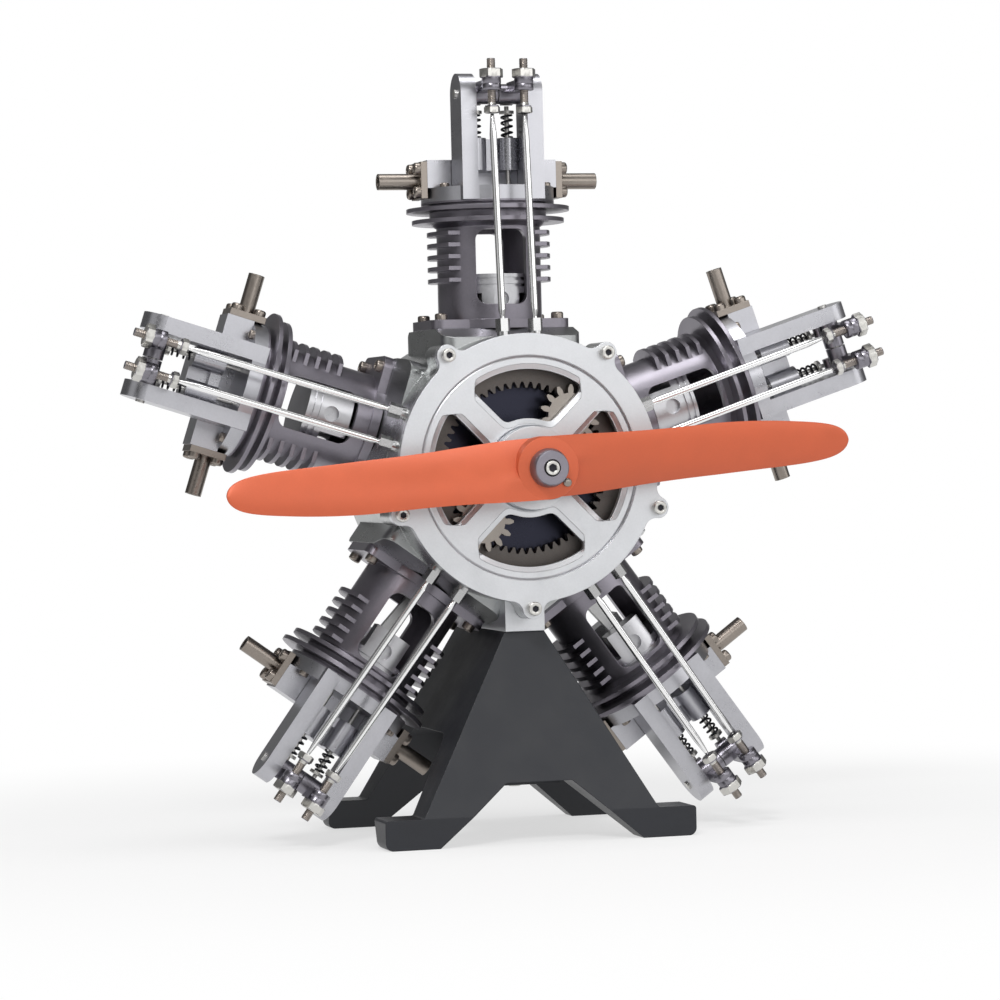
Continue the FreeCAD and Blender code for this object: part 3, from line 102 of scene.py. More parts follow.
def makeMetalGroup():
    # fine grain and drifting tone on Object coordinates in metres
    group, start, end = newGroup(
        "metalSkin",
        [("Color", "NodeSocketColor", (0.6, 0.6, 0.6, 1)),
         ("Tone", "NodeSocketFloat", 0.12),
         ("Rough", "NodeSocketFloat", 0.35),
         ("Rough Range", "NodeSocketFloat", 0.12),
         ("Grain Scale", "NodeSocketFloat", 1800.0),
         ("Patch Scale", "NodeSocketFloat", 90.0)],
        [("Color", "NodeSocketColor"), ("Roughness", "NodeSocketFloat"), ("Height", "NodeSocketFloat")])
    link = group.links.new
    coord = addNode(group, "ShaderNodeTexCoord")
    grain = addNode(group, "ShaderNodeTexNoise")
    grain.inputs["Detail"].default_value = skinPattern["grainDetail"]
    patch = addNode(group, "ShaderNodeTexNoise")
    patch.inputs["Detail"].default_value = skinPattern["patchDetail"]
    patch.inputs["Roughness"].default_value = skinPattern["patchRough"]
    link(coord.outputs["Object"], grain.inputs["Vector"])
    link(coord.outputs["Object"], patch.inputs["Vector"])
    link(start.outputs["Grain Scale"], grain.inputs["Scale"])
    link(start.outputs["Patch Scale"], patch.inputs["Scale"])
    mixed = addNode(group, "ShaderNodeMath", operation="MULTIPLY_ADD")
    mixed.inputs[1].default_value = skinPattern["grainShare"]
    link(grain.outputs["Fac"], mixed.inputs[0])
    link(patch.outputs["Fac"], mixed.inputs[2])
    centred = addNode(group, "ShaderNodeMath", operation="SUBTRACT")
    centred.inputs[1].default_value = skinPattern["middle"]
    link(mixed.outputs[0], centred.inputs[0])
    tone = addNode(group, "ShaderNodeMath", operation="MULTIPLY_ADD")
    tone.inputs[2].default_value = 1.0
    toneRange = addNode(group, "ShaderNodeMath", operation="MULTIPLY")
    toneRange.inputs[1].default_value = skinPattern["toneGain"]
    link(start.outputs["Tone"], toneRange.inputs[0])
    link(centred.outputs[0], tone.inputs[0])
    link(toneRange.outputs[0], tone.inputs[1])
    shade = addNode(group, "ShaderNodeVectorMath", operation="SCALE")
    link(start.outputs["Color"], shade.inputs[0])
    link(tone.outputs[0], shade.inputs["Scale"])
    link(shade.outputs[0], end.inputs["Color"])
    rough = addNode(group, "ShaderNodeMath", operation="MULTIPLY_ADD", use_clamp=True)
    roughRange = addNode(group, "ShaderNodeMath", operation="MULTIPLY")
    roughRange.inputs[1].default_value = skinPattern["roughGain"]
    link(start.outputs["Rough Range"], roughRange.inputs[0])
    link(centred.outputs[0], rough.inputs[0])
    link(roughRange.outputs[0], rough.inputs[1])
    link(start.outputs["Rough"], rough.inputs[2])
    link(rough.outputs[0], end.inputs["Roughness"])
    link(grain.outputs["Fac"], end.inputs["Height"])
    return group


metalSkin = makeMetalGroup()
plainFinish = {"metallic": 1.0, "tone": 0.08, "roughRange": 0.1, "grain": 1800.0, "patch": 90.0, "bump": 0.25,
               "bumpDepth": 0.03, "edge": 0.0, "edgeSamples": 4}
finishes = {
    "crankcase": {"color": (0.40, 0.41, 0.41), "rough": 0.30, "tone": 0.12, "edge": 0.35, "bump": 0.35},
    "cover": {"color": (0.66, 0.67, 0.69), "rough": 0.40, "tone": 0.07, "edge": 0.3, "bump": 0.3},
    "barrel": {"color": (0.25, 0.235, 0.268), "rough": 0.34, "tone": 0.10, "edge": 0.2, "metallic": 0.9},
    "head": {"color": (0.49, 0.49, 0.52), "rough": 0.32},
    "port": {"color": (0.30, 0.265, 0.235), "rough": 0.33, "tone": 0.14, "edge": 0.2},
    "steel": {"color": (0.63, 0.62, 0.59), "rough": 0.34},
    # the spring finish also serves as painted shade in the screw sockets and in the nut's counterbore
    "spring": {"color": (0.03, 0.03, 0.035), "rough": 0.4, "metallic": 0.9},
    "bearing": {"color": (0.48, 0.48, 0.48), "rough": 0.25, "tone": 0.06},
    "gear": {"color": (0.33, 0.30, 0.27), "rough": 0.36, "tone": 0.10, "edge": 0.08},
    "ring": {"color": (0.125, 0.113, 0.105), "rough": 0.5, "tone": 0.25, "metallic": 0.8, "bump": 0.7,
             "grain": 2600.0},
    "rod": {"color": (0.50, 0.50, 0.50), "rough": 0.32},
    "piston": {"color": (0.56, 0.56, 0.58), "rough": 0.34},
    "rocker": {"color": (0.25, 0.24, 0.27), "rough": 0.32},
    "pushrod": {"color": (0.9, 0.9, 0.9), "rough": 0.2, "tone": 0.03, "bump": 0.05},
    "propeller": {"color": (0.585, 0.114, 0.0455), "rough": 0.45, "tone": 0.05, "metallic": 0.25, "bump": 0.2,
                  "grain": 2600.0},
    "stand": {"color": (0.0115, 0.013, 0.018), "rough": 0.42, "tone": 0.15, "edge": 0.35, "metallic": 0.0,
              "bump": 0.3, "grain": 2200.0},
}


def makeMaterial(name, finish):
    # one skin of grain and drifting tone per finish, on some with softly broken edges; depths in millimetres
    look = {**plainFinish, **finish}
    material = bpy.data.materials.new(name)
    material.use_nodes = True
    t = material.node_tree
    shader = t.nodes["Principled BSDF"]
    shader.inputs["Metallic"].default_value = look["metallic"]
    skin = addNode(t, "ShaderNodeGroup")
    skin.node_tree = metalSkin
    skin.inputs["Color"].default_value = (*look["color"], 1.0)
    for label, key in (("Tone", "tone"), ("Rough", "rough"), ("Rough Range", "roughRange"),
                       ("Grain Scale", "grain"), ("Patch Scale", "patch")):
        skin.inputs[label].default_value = look[key]
    t.links.new(skin.outputs["Color"], shader.inputs["Base Color"])
    t.links.new(skin.outputs["Roughness"], shader.inputs["Roughness"])
    bump = addNode(t, "ShaderNodeBump")
    bump.inputs["Strength"].default_value = look["bump"]
    bump.inputs["Distance"].default_value = look["bumpDepth"] * mm
    t.links.new(skin.outputs["Height"], bump.inputs["Height"])
    if look["edge"] > 0:
        soft = addNode(t, "ShaderNodeBevel", samples=look["edgeSamples"])
        soft.inputs["Radius"].default_value = look["edge"] * mm
        t.links.new(soft.outputs["Normal"], bump.inputs["Normal"])
    t.links.new(bump.outputs["Normal"], shader.inputs["Normal"])
    return material


materials = {name: makeMaterial(name, finish) for name, finish in finishes.items()}

# inside the nose, nearer than radius to the crank axis and between front and back, the casting's colour is
# swapped for a near-black: painted shade on the partition behind the gears
noseShade = {"radius": 31.0, "front": -30.95, "back": -17.0, "color": (0.035, 0.036, 0.052)}


# painted shade: mixes the crankcase's colour to the near-black inside the nose
def paintNoseShade(material):
    t = material.node_tree
    link = t.links.new
    shader = t.nodes["Principled BSDF"]
    plain = shader.inputs["Base Color"].links[0].from_socket
    coord = addNode(t, "ShaderNodeTexCoord")
    split = addNode(t, "ShaderNodeSeparateXYZ")
    link(coord.outputs["Object"], split.inputs[0])
    height = addNode(t, "ShaderNodeMath", operation="SUBTRACT")
    height.inputs[1].default_value = engine["z"] * mm
    link(split.outputs["Z"], height.inputs[0])
    flat = addNode(t, "ShaderNodeCombineXYZ")
    link(split.outputs["X"], flat.inputs["X"])
    link(height.outputs[0], flat.inputs["Y"])
    length = addNode(t, "ShaderNodeVectorMath", operation="LENGTH")
    link(flat.outputs[0], length.inputs[0])
    inside = None
    for source, test, limit in ((length.outputs["Value"], "LESS_THAN", noseShade["radius"]),
                                (split.outputs["Y"], "GREATER_THAN", noseShade["front"] + engine["y"]),
                                (split.outputs["Y"], "LESS_THAN", noseShade["back"] + engine["y"])):
        check = addNode(t, "ShaderNodeMath", operation=test)
        check.inputs[1].default_value = limit * mm
        link(source, check.inputs[0])
        if inside is None:
            inside = check
        else:
            both = addNode(t, "ShaderNodeMath", operation="MULTIPLY")
            link(inside.outputs[0], both.inputs[0])
            link(check.outputs[0], both.inputs[1])
            inside = both
    mix = addNode(t, "ShaderNodeMix", data_type="RGBA")
    mix.inputs[7].default_value = (*noseShade["color"], 1.0)
    link(inside.outputs[0], mix.inputs[0])
    link(plain, mix.inputs[6])
    link(mix.outputs[2], shader.inputs["Base Color"])


paintNoseShade(materials["crankcase"])

slotOf = {entry["node"]: entry["material_slot"] for entry in frame["record"]["subparts"]}
for name, obj in nodes.items():
    obj.data.materials.clear()
    obj.data.materials.append(materials[slotOf[name]])
print("finishes set on", len(nodes), "nodes")


# helpers for the dressed pieces, each a parametric surface in the engine's frame

def addPiece(name, verts, faces, slotName, body="engine", smooth=45.0):
    mesh = bpy.data.meshes.new(name)
    mesh.from_pydata(place(verts).tolist(), [], [tuple(int(i) for i in face) for face in faces])
    mesh.shade_smooth()
    mesh.set_sharp_from_angle(angle=math.radians(smooth))
    mesh.materials.append(materials[slotName])
    obj = bpy.data.objects.new(name, mesh)
    scene.collection.objects.link(obj)
    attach(obj, body)
    return obj


def addToDrive(stem, shape, drive, slotName, kind, smooth):
    # a piece of one valve drive, made upright and turned to its cylinder; kind names the body that it rides
    verts, faces = shape
    number, port = drive["number"], drive["port"]
    name = f"{stem}{number}{port.capitalize()}"
    body = f"{kind}_{number}_{port}" if kind else "engine"
    return addPiece(name, turnY(verts, drive["turn"]), faces, slotName, body, smooth)


def join(parts):
    # several (verts, faces) as one
    verts, faces, start = [], [], 0
    for v, f in parts:
        verts.append(np.asarray(v, float))
        faces.extend([tuple(i + start for i in face) for face in f])
        start += len(v)
    return np.concatenate(verts), faces


def sheetFaces(rows, columns, wrapped):
    # quads between neighbouring rows of a grid; wrapped grids close round
    faces = []
    for r in range(rows - 1):
        for c in range(columns if wrapped else columns - 1):
            n = (c + 1) % columns
            faces.append((r * columns + c, r * columns + n, (r + 1) * columns + n, (r + 1) * columns + c))
    return faces


def frameOf(axis):
    # two unit vectors across the axis, and the axis
    w = np.asarray(axis, float) / np.linalg.norm(axis)
    helper = np.array([0.0, 1.0, 0.0]) if abs(w[1]) < 0.9 else np.array([0.0, 0.0, 1.0])
    u = np.cross(helper, w)
    u /= np.linalg.norm(u)
    return u, np.cross(w, u), w


def spin(profile, centre, axis, count=24, closeEnd=True, shift=0.0):
    # p(v, a) = centre + h(v) axis + r(v) g(v, a) (cos a u + sin a w), where g is 1 on round rings and
    # 1 / cos(a to the middle of its flat) on hexagonal ones; a profile row is (radius, height, hexagonal)
    u, w, n = frameOf(axis)
    a = np.arange(count) * 2 * math.pi / count
    flat = 1.0 / np.cos((a + shift + math.pi / 6) % (math.pi / 3) - math.pi / 6)
    rows = []
    for radius, height, hexagonal in profile:
        r = radius * (flat if hexagonal else 1.0)
        rows.append(np.asarray(centre, float) + height * n + (r * np.cos(a))[:, None] * u
                    + (r * np.sin(a))[:, None] * w)
    verts = np.concatenate(rows)
    faces = sheetFaces(len(profile), count, True)
    if closeEnd:
        last = (len(profile) - 1) * count
        faces.append(tuple(last + i for i in range(count)))
    return verts, faces


def roundRows(rows):
    # profile rows (radius, height) that are all round
    return [(radius, height, False) for radius, height in rows]


def onCylinders(points):
    # the same point of a cylinder unit on all five
    return [turnY(point, k * engine["step"]) for k in range(engine["cylinders"]) for point in points]


def corners(look):
    # the four corners of a rectangle about a cylinder's axis
    return [(sx * look["s"], sy * look["y"], look["z"]) for sx in (-1, 1) for sy in (-1, 1)]


# socket screws: shares of the socket's width, except for sunk, pole (mm) and the steps of the rounded rim
socketForm = {"sunk": 0.02, "rimSteps": 5, "leadIn": 1.12, "leadDepth": 0.1, "floor": 0.98, "floorDepth": 0.3,
              "poleDepth": 0.45, "pole": 0.05}


def capScrew(centre, axis, look):
    # a screw head: wall, rounded rim, flat top and a hexagonal socket
    f = socketForm
    head, height, socket, rounding = look["head"], look["height"], look["socket"], look["rounding"]
    rim = [(head - rounding * (1 - math.cos(t)), height - rounding * (1 - math.sin(t)), False)
           for t in np.linspace(0, math.pi / 2, f["rimSteps"])]
    profile = [(head, -f["sunk"], False)] + rim
    profile += [(socket * f["leadIn"], height, False), (socket, height - f["leadDepth"] * socket, True),
                (socket, height - look["depth"], True)]
    return spin(profile, centre, axis)


def socketShadeFloor(centre, axis, look):
    # a near-black floor a little below a hexagonal socket's rim: painted shade for the socket's bottom
    f = socketForm
    height, socket = look["height"], look["socket"]
    return spin([(socket * f["floor"], height - f["floorDepth"] * socket, True),
                 (f["pole"], height - f["poleDepth"] * socket, True)], centre, axis)


def rowOfScrews(name, centres, axes, look, slotName):
    heads = [capScrew(centre, axis, look) for centre, axis in zip(centres, axes)]
    # near-black socket floors in the spring finish: painted shade in each socket
    shadeFloors = [socketShadeFloor(centre, axis, look) for centre, axis in zip(centres, axes)]
    addPiece(name + "SocketShade", *join(shadeFloors), "spring")
    addPiece(name, *join(heads), slotName)


coverScrew = {"ring": 35.5, "first": 36.0, "y": -33.4, "head": 1.75, "height": 2.0, "socket": 0.76,
              "depth": 1.1, "rounding": 0.35}
angles = [math.radians(coverScrew["first"] + k * engine["step"]) for k in range(engine["cylinders"])]
spots = [(coverScrew["ring"] * math.sin(a), coverScrew["y"], coverScrew["ring"] * math.cos(a))
         for a in angles]
rowOfScrews("coverScrews", spots, [(0, -1, 0)] * len(spots), coverScrew, "steel")

flangeScrew = {"s": 15.6, "y": 8.6, "z": 38.4, "head": 1.6, "height": 1.7, "socket": 0.75, "depth": 0.9,
               "rounding": 0.5}
headScrew = {"s": 13.6, "y": 7.9, "z": 72.6, "head": 1.25, "height": 1.1, "socket": 0.6, "depth": 0.6,
             "rounding": 0.45}
for name, look in (("flangeScrews", flangeScrew), ("headScrews", headScrew)):
    spots = corners(look)
    rowOfScrews(name, onCylinders(spots), onCylinders([(0, 0, 1)] * len(spots)), look, "port")

portScrew = {"s": 19.0, "y": 3.3, "z": 74.65, "spread": 3.0, "head": 1.6, "height": 1.6, "socket": 0.7,
             "depth": 0.8, "rounding": 0.6}
spots = [(x, y, z + sz * portScrew["spread"]) for x, y, z in corners(portScrew) for sz in (-1, 1)]
ways = [(math.copysign(1, x), 0, 0) for x, y, z in spots]
rowOfScrews("portScrews", onCylinders(spots), onCylinders(ways), portScrew, "port")
print("screws made")

coil = {"s": 4.3, "y": -5.0, "low": 85.32, "high": 91.55, "radius": 1.36, "wire": 0.30, "turns": 3.9,
        "levelShare": 0.28, "keep": 0.855, "steps": 150, "around": 8}


def coilSurface(side):
    # centre line c(t) = (R cos 2 pi n t, R sin 2 pi n t, z(t)) with z(t) easing to level end coils, and a
    # wire circle of radius w about it in the plane of the radial direction and the axis
    count, steps, wire = coil["around"], coil["steps"], coil["wire"]
    t = np.linspace(0, 1, steps)
    level = 0.5 - 0.5 * np.cos(t * math.pi)
    rise = (1 - coil["levelShare"]) * t + coil["levelShare"] * level
    z = coil["low"] + wire + (coil["high"] - coil["low"] - 2 * wire) * rise
    a = 2 * math.pi * coil["turns"] * t
    out = np.stack([np.cos(a), np.sin(a), 0 * a], axis=1)
    line = coil["radius"] * out + np.stack([0 * a, 0 * a, z], axis=1)
    b = np.arange(count) * 2 * math.pi / count
    ringOut = wire * np.cos(b)[None, :, None] * out[:, None, :]
    ringUp = wire * np.sin(b)[None, :, None] * np.array([0, 0, 1.0])
    verts = (line[:, None, :] + ringOut + ringUp).reshape(-1, 3) + [side * coil["s"], coil["y"], 0]
    ends = [tuple(range(count)), tuple((steps - 1) * count + i for i in range(count))]
    return verts, sheetFaces(steps, count, True) + ends


for drive in drives:
    spring = addToDrive("valveSpring", coilSurface(drive["side"]), drive, "spring", None, 45.0)
    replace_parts(spring, "valve_springs")
    foot = place(turnY(np.array([drive["side"] * coil["s"], coil["y"], coil["low"]]), drive["turn"]))
    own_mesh(spring)
print("springs made")

# the adjusters, pushrods and rocker collars of a drive stand on one line, at s to its side and y in front
thread = {"s": 4.3, "y": -21.5, "radius": 0.99, "crest": 0.12, "pitch": 0.42, "around": 20, "perTurn": 6,
          "spans": ((92.3, 96.2), (101.6, 104.2))}


def threadSurface(side, low, high):
    # radius r(a, z) = r0 + crest |2 frac(z / pitch - a / 2 pi) - 1|, a single-start V thread
    count = int((high - low) / thread["pitch"] * thread["perTurn"]) + 1
    z = np.linspace(low, high, count)
    a = np.arange(thread["around"]) * 2 * math.pi / thread["around"]
    zz, aa = np.meshgrid(z, a, indexing="ij")
    wave = np.abs(2 * ((zz / thread["pitch"] - aa / (2 * math.pi)) % 1.0) - 1)
    r = thread["radius"] + thread["crest"] * wave
    r[[0, -1]] = thread["radius"]
    x = r * np.cos(aa) + side * thread["s"]
    y = r * np.sin(aa) + thread["y"]
    return np.stack([x, y, zz], axis=-1).reshape(-1, 3), sheetFaces(count, thread["around"], True)


for drive in drives:
    both = join([threadSurface(drive["side"], low, high) for low, high in thread["spans"]])
    addToDrive("adjusterThread", both, drive, "port", "rocker", 60.0)
print("threads made")

# profile rows are (radius, height); lean is the turn about the top, and long rows are cut every stretch
pushrod = {"top": 90.15, "lean": -5.3, "stretch": 4.0, "around": 28,
           "profile": ((0.6, 27.8), (0.6, 38.1), (0.62, 38.3), (0.9, 39.7), (0.92, 40.4), (0.92, 84.6),
                       (0.9, 85.2), (0.46, 90.05), (0.44, 90.14))}


def pushrodSurface(side):
    # a lathe form r(v) about the rod's own line, then leant towards the crankcase's nose
    p = pushrod
    rows = []
    for (r0, z0), (r1, z1) in zip(p["profile"], p["profile"][1:]):
        pieces = max(1, int((z1 - z0) / p["stretch"]))
        rows += [(r0 + (r1 - r0) * i / pieces, z0 + (z1 - z0) * i / pieces - p["top"])
                 for i in range(pieces)]
    rows.append((p["profile"][-1][0], p["profile"][-1][1] - p["top"]))
    verts, faces = spin(roundRows(rows), (0, 0, 0), (0, 0, 1), count=p["around"])
    a = math.radians(p["lean"])
    y = verts[:, 1] * math.cos(a) - verts[:, 2] * math.sin(a)
    z = verts[:, 1] * math.sin(a) + verts[:, 2] * math.cos(a)
    return np.stack([verts[:, 0] + side * thread["s"], y + thread["y"], z + p["top"]], axis=1), faces


for drive in drives:
    rod = addToDrive("rod", pushrodSurface(drive["side"]), drive, "pushrod", "pushrod", 60.0)
    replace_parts(rod, f"pushrod_{drive['number']}_{drive['port']}")
print("pushrods made")

# the lock nut stands on the rocker's collar, and the hexagonal foot with its neck over the pushrod's top;
# neck rows are (radius, height above the foot)
adjuster = {"nutFlats": 5.4, "nutLow": 99.42, "nutHigh": 101.68, "nutChamfer": 0.24, "footFlats": 3.7,
            "footLow": 90.4, "footHigh": 92.0, "footChamfer": 0.15, "rimShare": 0.985, "pole": 0.1,
            "neck": ((1.5, -0.05), (1.15, 0.4), (1.02, 1.2)), "around": 36}
# the collar is a turned sleeve with a groove at mid height
collar = {"radius": 2.46, "low": 96.15, "high": 99.42, "bore": 0.9, "rim": 0.15, "groove": 0.07,
          "grooveHalf": 0.08, "grooveAt": 0.52, "around": 32}


def hexNut(centre, flats, height, chamfer):
    # an upright hexagonal prism whose two rims run back to its inscribed circle
    r = flats / 2
    rim = r * adjuster["rimShare"]
    profile = [(adjuster["pole"], 0.0, False), (rim, 0.0, False), (r, chamfer, True),
               (r, height - chamfer, True), (rim, height, False), (adjuster["pole"], height, False)]
    return spin(profile, centre, (0, 0, 1), count=adjuster["around"], shift=math.pi / 6)


def collarSurface(centre):
    c = collar
    wall = c["high"] - c["low"]
    middle = wall * c["grooveAt"]
    rows = [(c["bore"], 0.0), (c["radius"] - c["rim"], 0.0), (c["radius"], c["rim"]),
            (c["radius"], middle - c["grooveHalf"]), (c["radius"] - c["groove"], middle),
            (c["radius"], middle + c["grooveHalf"]), (c["radius"], wall)]
    return spin(roundRows(rows), centre, (0, 0, 1), count=c["around"], closeEnd=False)


for drive in drives:
    d = adjuster
    at = (drive["side"] * thread["s"], thread["y"])
    neck = roundRows([(radius, d["footHigh"] + height) for radius, height in d["neck"]])
    nuts = join([hexNut((*at, d["nutLow"]), d["nutFlats"], d["nutHigh"] - d["nutLow"], d["nutChamfer"]),
                 hexNut((*at, d["footLow"]), d["footFlats"], d["footHigh"] - d["footLow"], d["footChamfer"]),
                 spin(neck, (*at, 0), (0, 0, 1))])
    addToDrive("adjusterNuts", nuts, drive, "steel", "rocker", 30.0)
    addToDrive("rockerCollar", collarSurface((*at, collar["low"])), drive, "rocker", "rocker", 50.0)
print("rocker nuts and collars made")

# the propeller: at x along the blade its chord runs from z = -lower to upper, tilted by the pitch p, with
# u = cos a across it; y = middle - tan(p) z -+ (share T sin^2 a + e |sin a|) on the front and back
propeller = {"reach": 81.0, "boss": 7.9, "bossRim": 0.25, "bossAround": 96, "front": -49.5, "back": -43.0,
             "middle": -46.25, "tilt": -3.6, "edge": 0.28, "frontShare": 0.6, "along": 110, "around": 64,
             "spacing": 1.12, "tipPower": 20.0, "flushBow": 0.13, "flushLength": 5.0, "flushRise": 2.5,
             "flushProud": 0.02,
             "at": (0.0, 9.0, 18.0, 28.0, 37.0, 46.0, 54.0, 61.0, 68.0, 74.0, 81.0),
             "upper": (7.85, 7.7, 7.35, 7.15, 7.2, 7.35, 7.1, 6.6, 5.9, 5.35, 4.9),
             "lower": (7.65, 7.55, 7.05, 6.4, 6.0, 5.75, 5.5, 5.3, 5.1, 4.85, 4.6),
             "pitch": (20.5, 21.5, 22.0, 20.5, 18.6, 16.8, 15.3, 14.0, 13.0, 12.2, 11.5),
             "thickness": (2.9, 2.9, 2.7, 2.5, 2.3, 2.1, 1.9, 1.7, 1.45, 1.2, 0.8)}


def smoothStep(t):
    t = np.clip(t, 0, 1)
    return t * t * (3 - 2 * t)


def throughPoints(x, at, values):
    # a cubic through the stations, each slope half the difference of its neighbours
    at, values = np.asarray(at), np.asarray(values)
    slope = np.gradient(values, at)
    i = np.clip(np.searchsorted(at, x, side="right") - 1, 0, len(at) - 2)
    gap = at[i + 1] - at[i]
    t = (x - at[i]) / gap
    return ((2 * t ** 3 - 3 * t ** 2 + 1) * values[i] + (t ** 3 - 2 * t ** 2 + t) * gap * slope[i]
            + (3 * t ** 2 - 2 * t ** 3) * values[i + 1] + (t ** 3 - t ** 2) * gap * slope[i + 1])


def bladeSurface():
    p = propeller
    t = np.linspace(0, 1, p["along"])
    x = p["reach"] * np.sin(t * math.pi / 2) ** p["spacing"]
    tip = np.sqrt(np.clip(1 - (x / p["reach"]) ** p["tipPower"], 0, 1))
    upper = throughPoints(x, p["at"], p["upper"]) * tip
    lower = -throughPoints(x, p["at"], p["lower"]) * tip
    slant = np.tan(np.radians(throughPoints(x, p["at"], p["pitch"])))
    thick = throughPoints(x, p["at"], p["thickness"]) * tip
    a = (np.arange(p["around"]) + 0.5) * 2 * math.pi / p["around"]
    u, over = np.cos(a)[None, :], np.sin(a)[None, :]
    middle, half = ((upper + lower) / 2)[:, None], ((upper - lower) / 2)[:, None]
    z = middle + half * u
    share = np.where(over > 0, p["frontShare"], 1 - p["frontShare"])
    bulge = share * thick[:, None] * over ** 2 + np.minimum(p["edge"], half) * np.abs(over)
    y = p["middle"] - slant[:, None] * z - np.sign(over) * bulge
    # next to the boss the front runs level with it above the shaft, out to x0(z) = boss + flushBow z^2
    outward = x[:, None] - p["boss"] - p["flushBow"] * z ** 2
    flush = (1 - smoothStep(outward / p["flushLength"])) * smoothStep(z / p["flushRise"]) * (over > 0)
    y = y + (p["front"] + p["flushProud"] - y) * flush
    grid = np.stack([np.broadcast_to(x[:, None], z.shape), y, z], axis=-1).reshape(-1, 3)
    return grid, sheetFaces(p["along"], p["around"], True)


def bossSurface():
    p = propeller
    tall = p["back"] - p["front"]
    rim = p["bossRim"]
    rows = [(p["boss"], 0.0), (p["boss"], tall - rim), (p["boss"] - rim * 0.3, tall - rim * 0.3),
            (p["boss"] - rim, tall)]
    return spin(roundRows(rows), (0, p["back"], 0), (0, -1, 0), count=p["bossAround"])


def addOnCrank(name, shape, slotName, smooth=45.0):
    # a piece that turns with the crank, made level and set to the propeller's tilt
    return addPiece(name, turnY(shape[0], propeller["tilt"]), shape[1], slotName, "crank", smooth)


blade = bladeSurface()
whole = join([blade, (turnY(blade[0], 180.0), blade[1]), bossSurface()])
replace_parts(addOnCrank("propellerSkin", whole, "propeller", smooth=35.0), "propeller")
print("propeller made")

# the cover's raised field: flat between the windows, sloping to each window's edge and to the step ring
field = {"level": -32.7, "rise": 0.42, "sunk": 0.05, "outer": 28.45, "outerSlope": 0.7, "boss": 10.4,
         "bossSlope": 0.5, "windowSlope": 1.35, "windowEdge": 0.06, "windowOuter": 25.0, "windowInner": 12.5,
         "spoke": 3.75, "corner": 0.72, "centre": 19.2, "nearest": 0.5, "farthest": 14.0, "halvings": 40,
         "around": 120, "windows": 4}


def windowLoop(margin):
    # the window is where f(p), a soft maximum of |p| - outer, inner - |p| and spoke - distance to the spoke's
    # middle line, is below 0; rays from the window's middle are cut where f = margin, by halving
    f = field
    a = (np.arange(f["around"]) + 0.5) * 2 * math.pi / f["around"]
    ray = np.stack([np.sin(a), np.cos(a)], axis=1)
    low, high = np.full(len(a), f["nearest"]), np.full(len(a), f["farthest"])
    k = f["corner"]
    for _ in range(f["halvings"]):
        middle = (low + high) / 2
        p = ray * middle[:, None] + [0.0, f["centre"]]
        reach = np.hypot(p[:, 0], p[:, 1])
        away = (p[:, 1] - np.abs(p[:, 0])) / math.sqrt(2)
        terms = np.stack([reach - f["windowOuter"], f["windowInner"] - reach, f["spoke"] - away]) - margin
        value = k * np.log(np.exp(terms / k).sum(axis=0))
        low, high = np.where(value < 0, middle, low), np.where(value < 0, high, middle)
    return ray * middle[:, None] + [0.0, f["centre"]]


def fieldSurface():
    # each rim is a pair of loops, foot and brow, with a sloping band between; the brows bound the flat top
    f = field
    count = f["around"]
    a = np.arange(count) * 2 * math.pi / count
    circle = np.stack([np.sin(a), np.cos(a)], axis=1)
    rims = [(circle * f["outer"], circle * (f["outer"] - f["outerSlope"])),
            (circle * f["boss"], circle * (f["boss"] + f["bossSlope"]))]
    edge, crest = windowLoop(f["windowEdge"]), windowLoop(f["windowSlope"])
    for n in range(f["windows"]):
        t = n * 2 * math.pi / f["windows"]
        quarter = np.array([[math.cos(t), -math.sin(t)], [math.sin(t), math.cos(t)]])
        rims.append((edge @ quarter, crest @ quarter))
    verts, faces, crests = [], [], []
    for foot, brow in rims:
        start = len(verts)
        verts += [(x, f["level"] + f["sunk"], z) for x, z in foot]
        verts += [(x, f["level"] - f["rise"], z) for x, z in brow]
        faces += [tuple(start + i for i in face) for face in sheetFaces(2, count, True)]
        crests.append([start + count + i for i in range(count)])
    loops = [[Vector((verts[i][0], verts[i][2], 0)) for i in crest] for crest in crests]
    inOrder = [i for crest in crests for i in crest]
    faces += [tuple(inOrder[i] for i in face) for face in tessellate_polygon(loops)]
    return np.array(verts), faces


addPiece("coverField", *fieldSurface(), "cover", smooth=12.0)
print("cover field made")

# the propeller nut's shell, the socket screw in its counterbore and the drive pin beside it
nut = {"front": -52.9, "back": -49.5, "radius": 4.9, "coneFrom": 0.3, "face": 4.15, "faceRim": 0.18,
       "rimDepth": 0.2, "bore": 2.15, "boreDepth": 1.2, "around": 48}
endScrew = {"head": 1.8, "proud": 0.45, "socket": 0.95, "depth": 1.0, "rounding": 0.2, "gap": 0.02,
            "lift": 0.1}
endScrew["height"] = nut["boreDepth"] + endScrew["proud"]
# the pin's rows are (how far inside its radius, height)
drivePin = {"radius": 1.08, "angle": -42.0, "pitch": 6.0,
            "rows": ((0.0, 0.0), (0.0, 0.5), (0.13, 0.7), (0.58, 0.8))}
forward = (0, -1, 0)
tall = nut["back"] - nut["front"]
seat = (0, nut["front"] + nut["boreDepth"], 0)
nutRows = [(nut["radius"], 0.0), (nut["radius"], tall * nut["coneFrom"]),
           (nut["face"] + nut["faceRim"], tall - nut["rimDepth"]), (nut["face"], tall), (nut["bore"], tall),
           (nut["bore"], tall - nut["boreDepth"])]
shell = spin(roundRows(nutRows), (0, nut["back"], 0), forward, count=nut["around"])
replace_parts(addOnCrank("nutShell", shell, "barrel"), "propeller_nut")
addOnCrank("endScrew", capScrew(seat, forward, endScrew), "steel")
# painted shade at the bottom of the end screw's socket
addOnCrank("endScrewSocketShade", socketShadeFloor(seat, forward, endScrew), "spring")
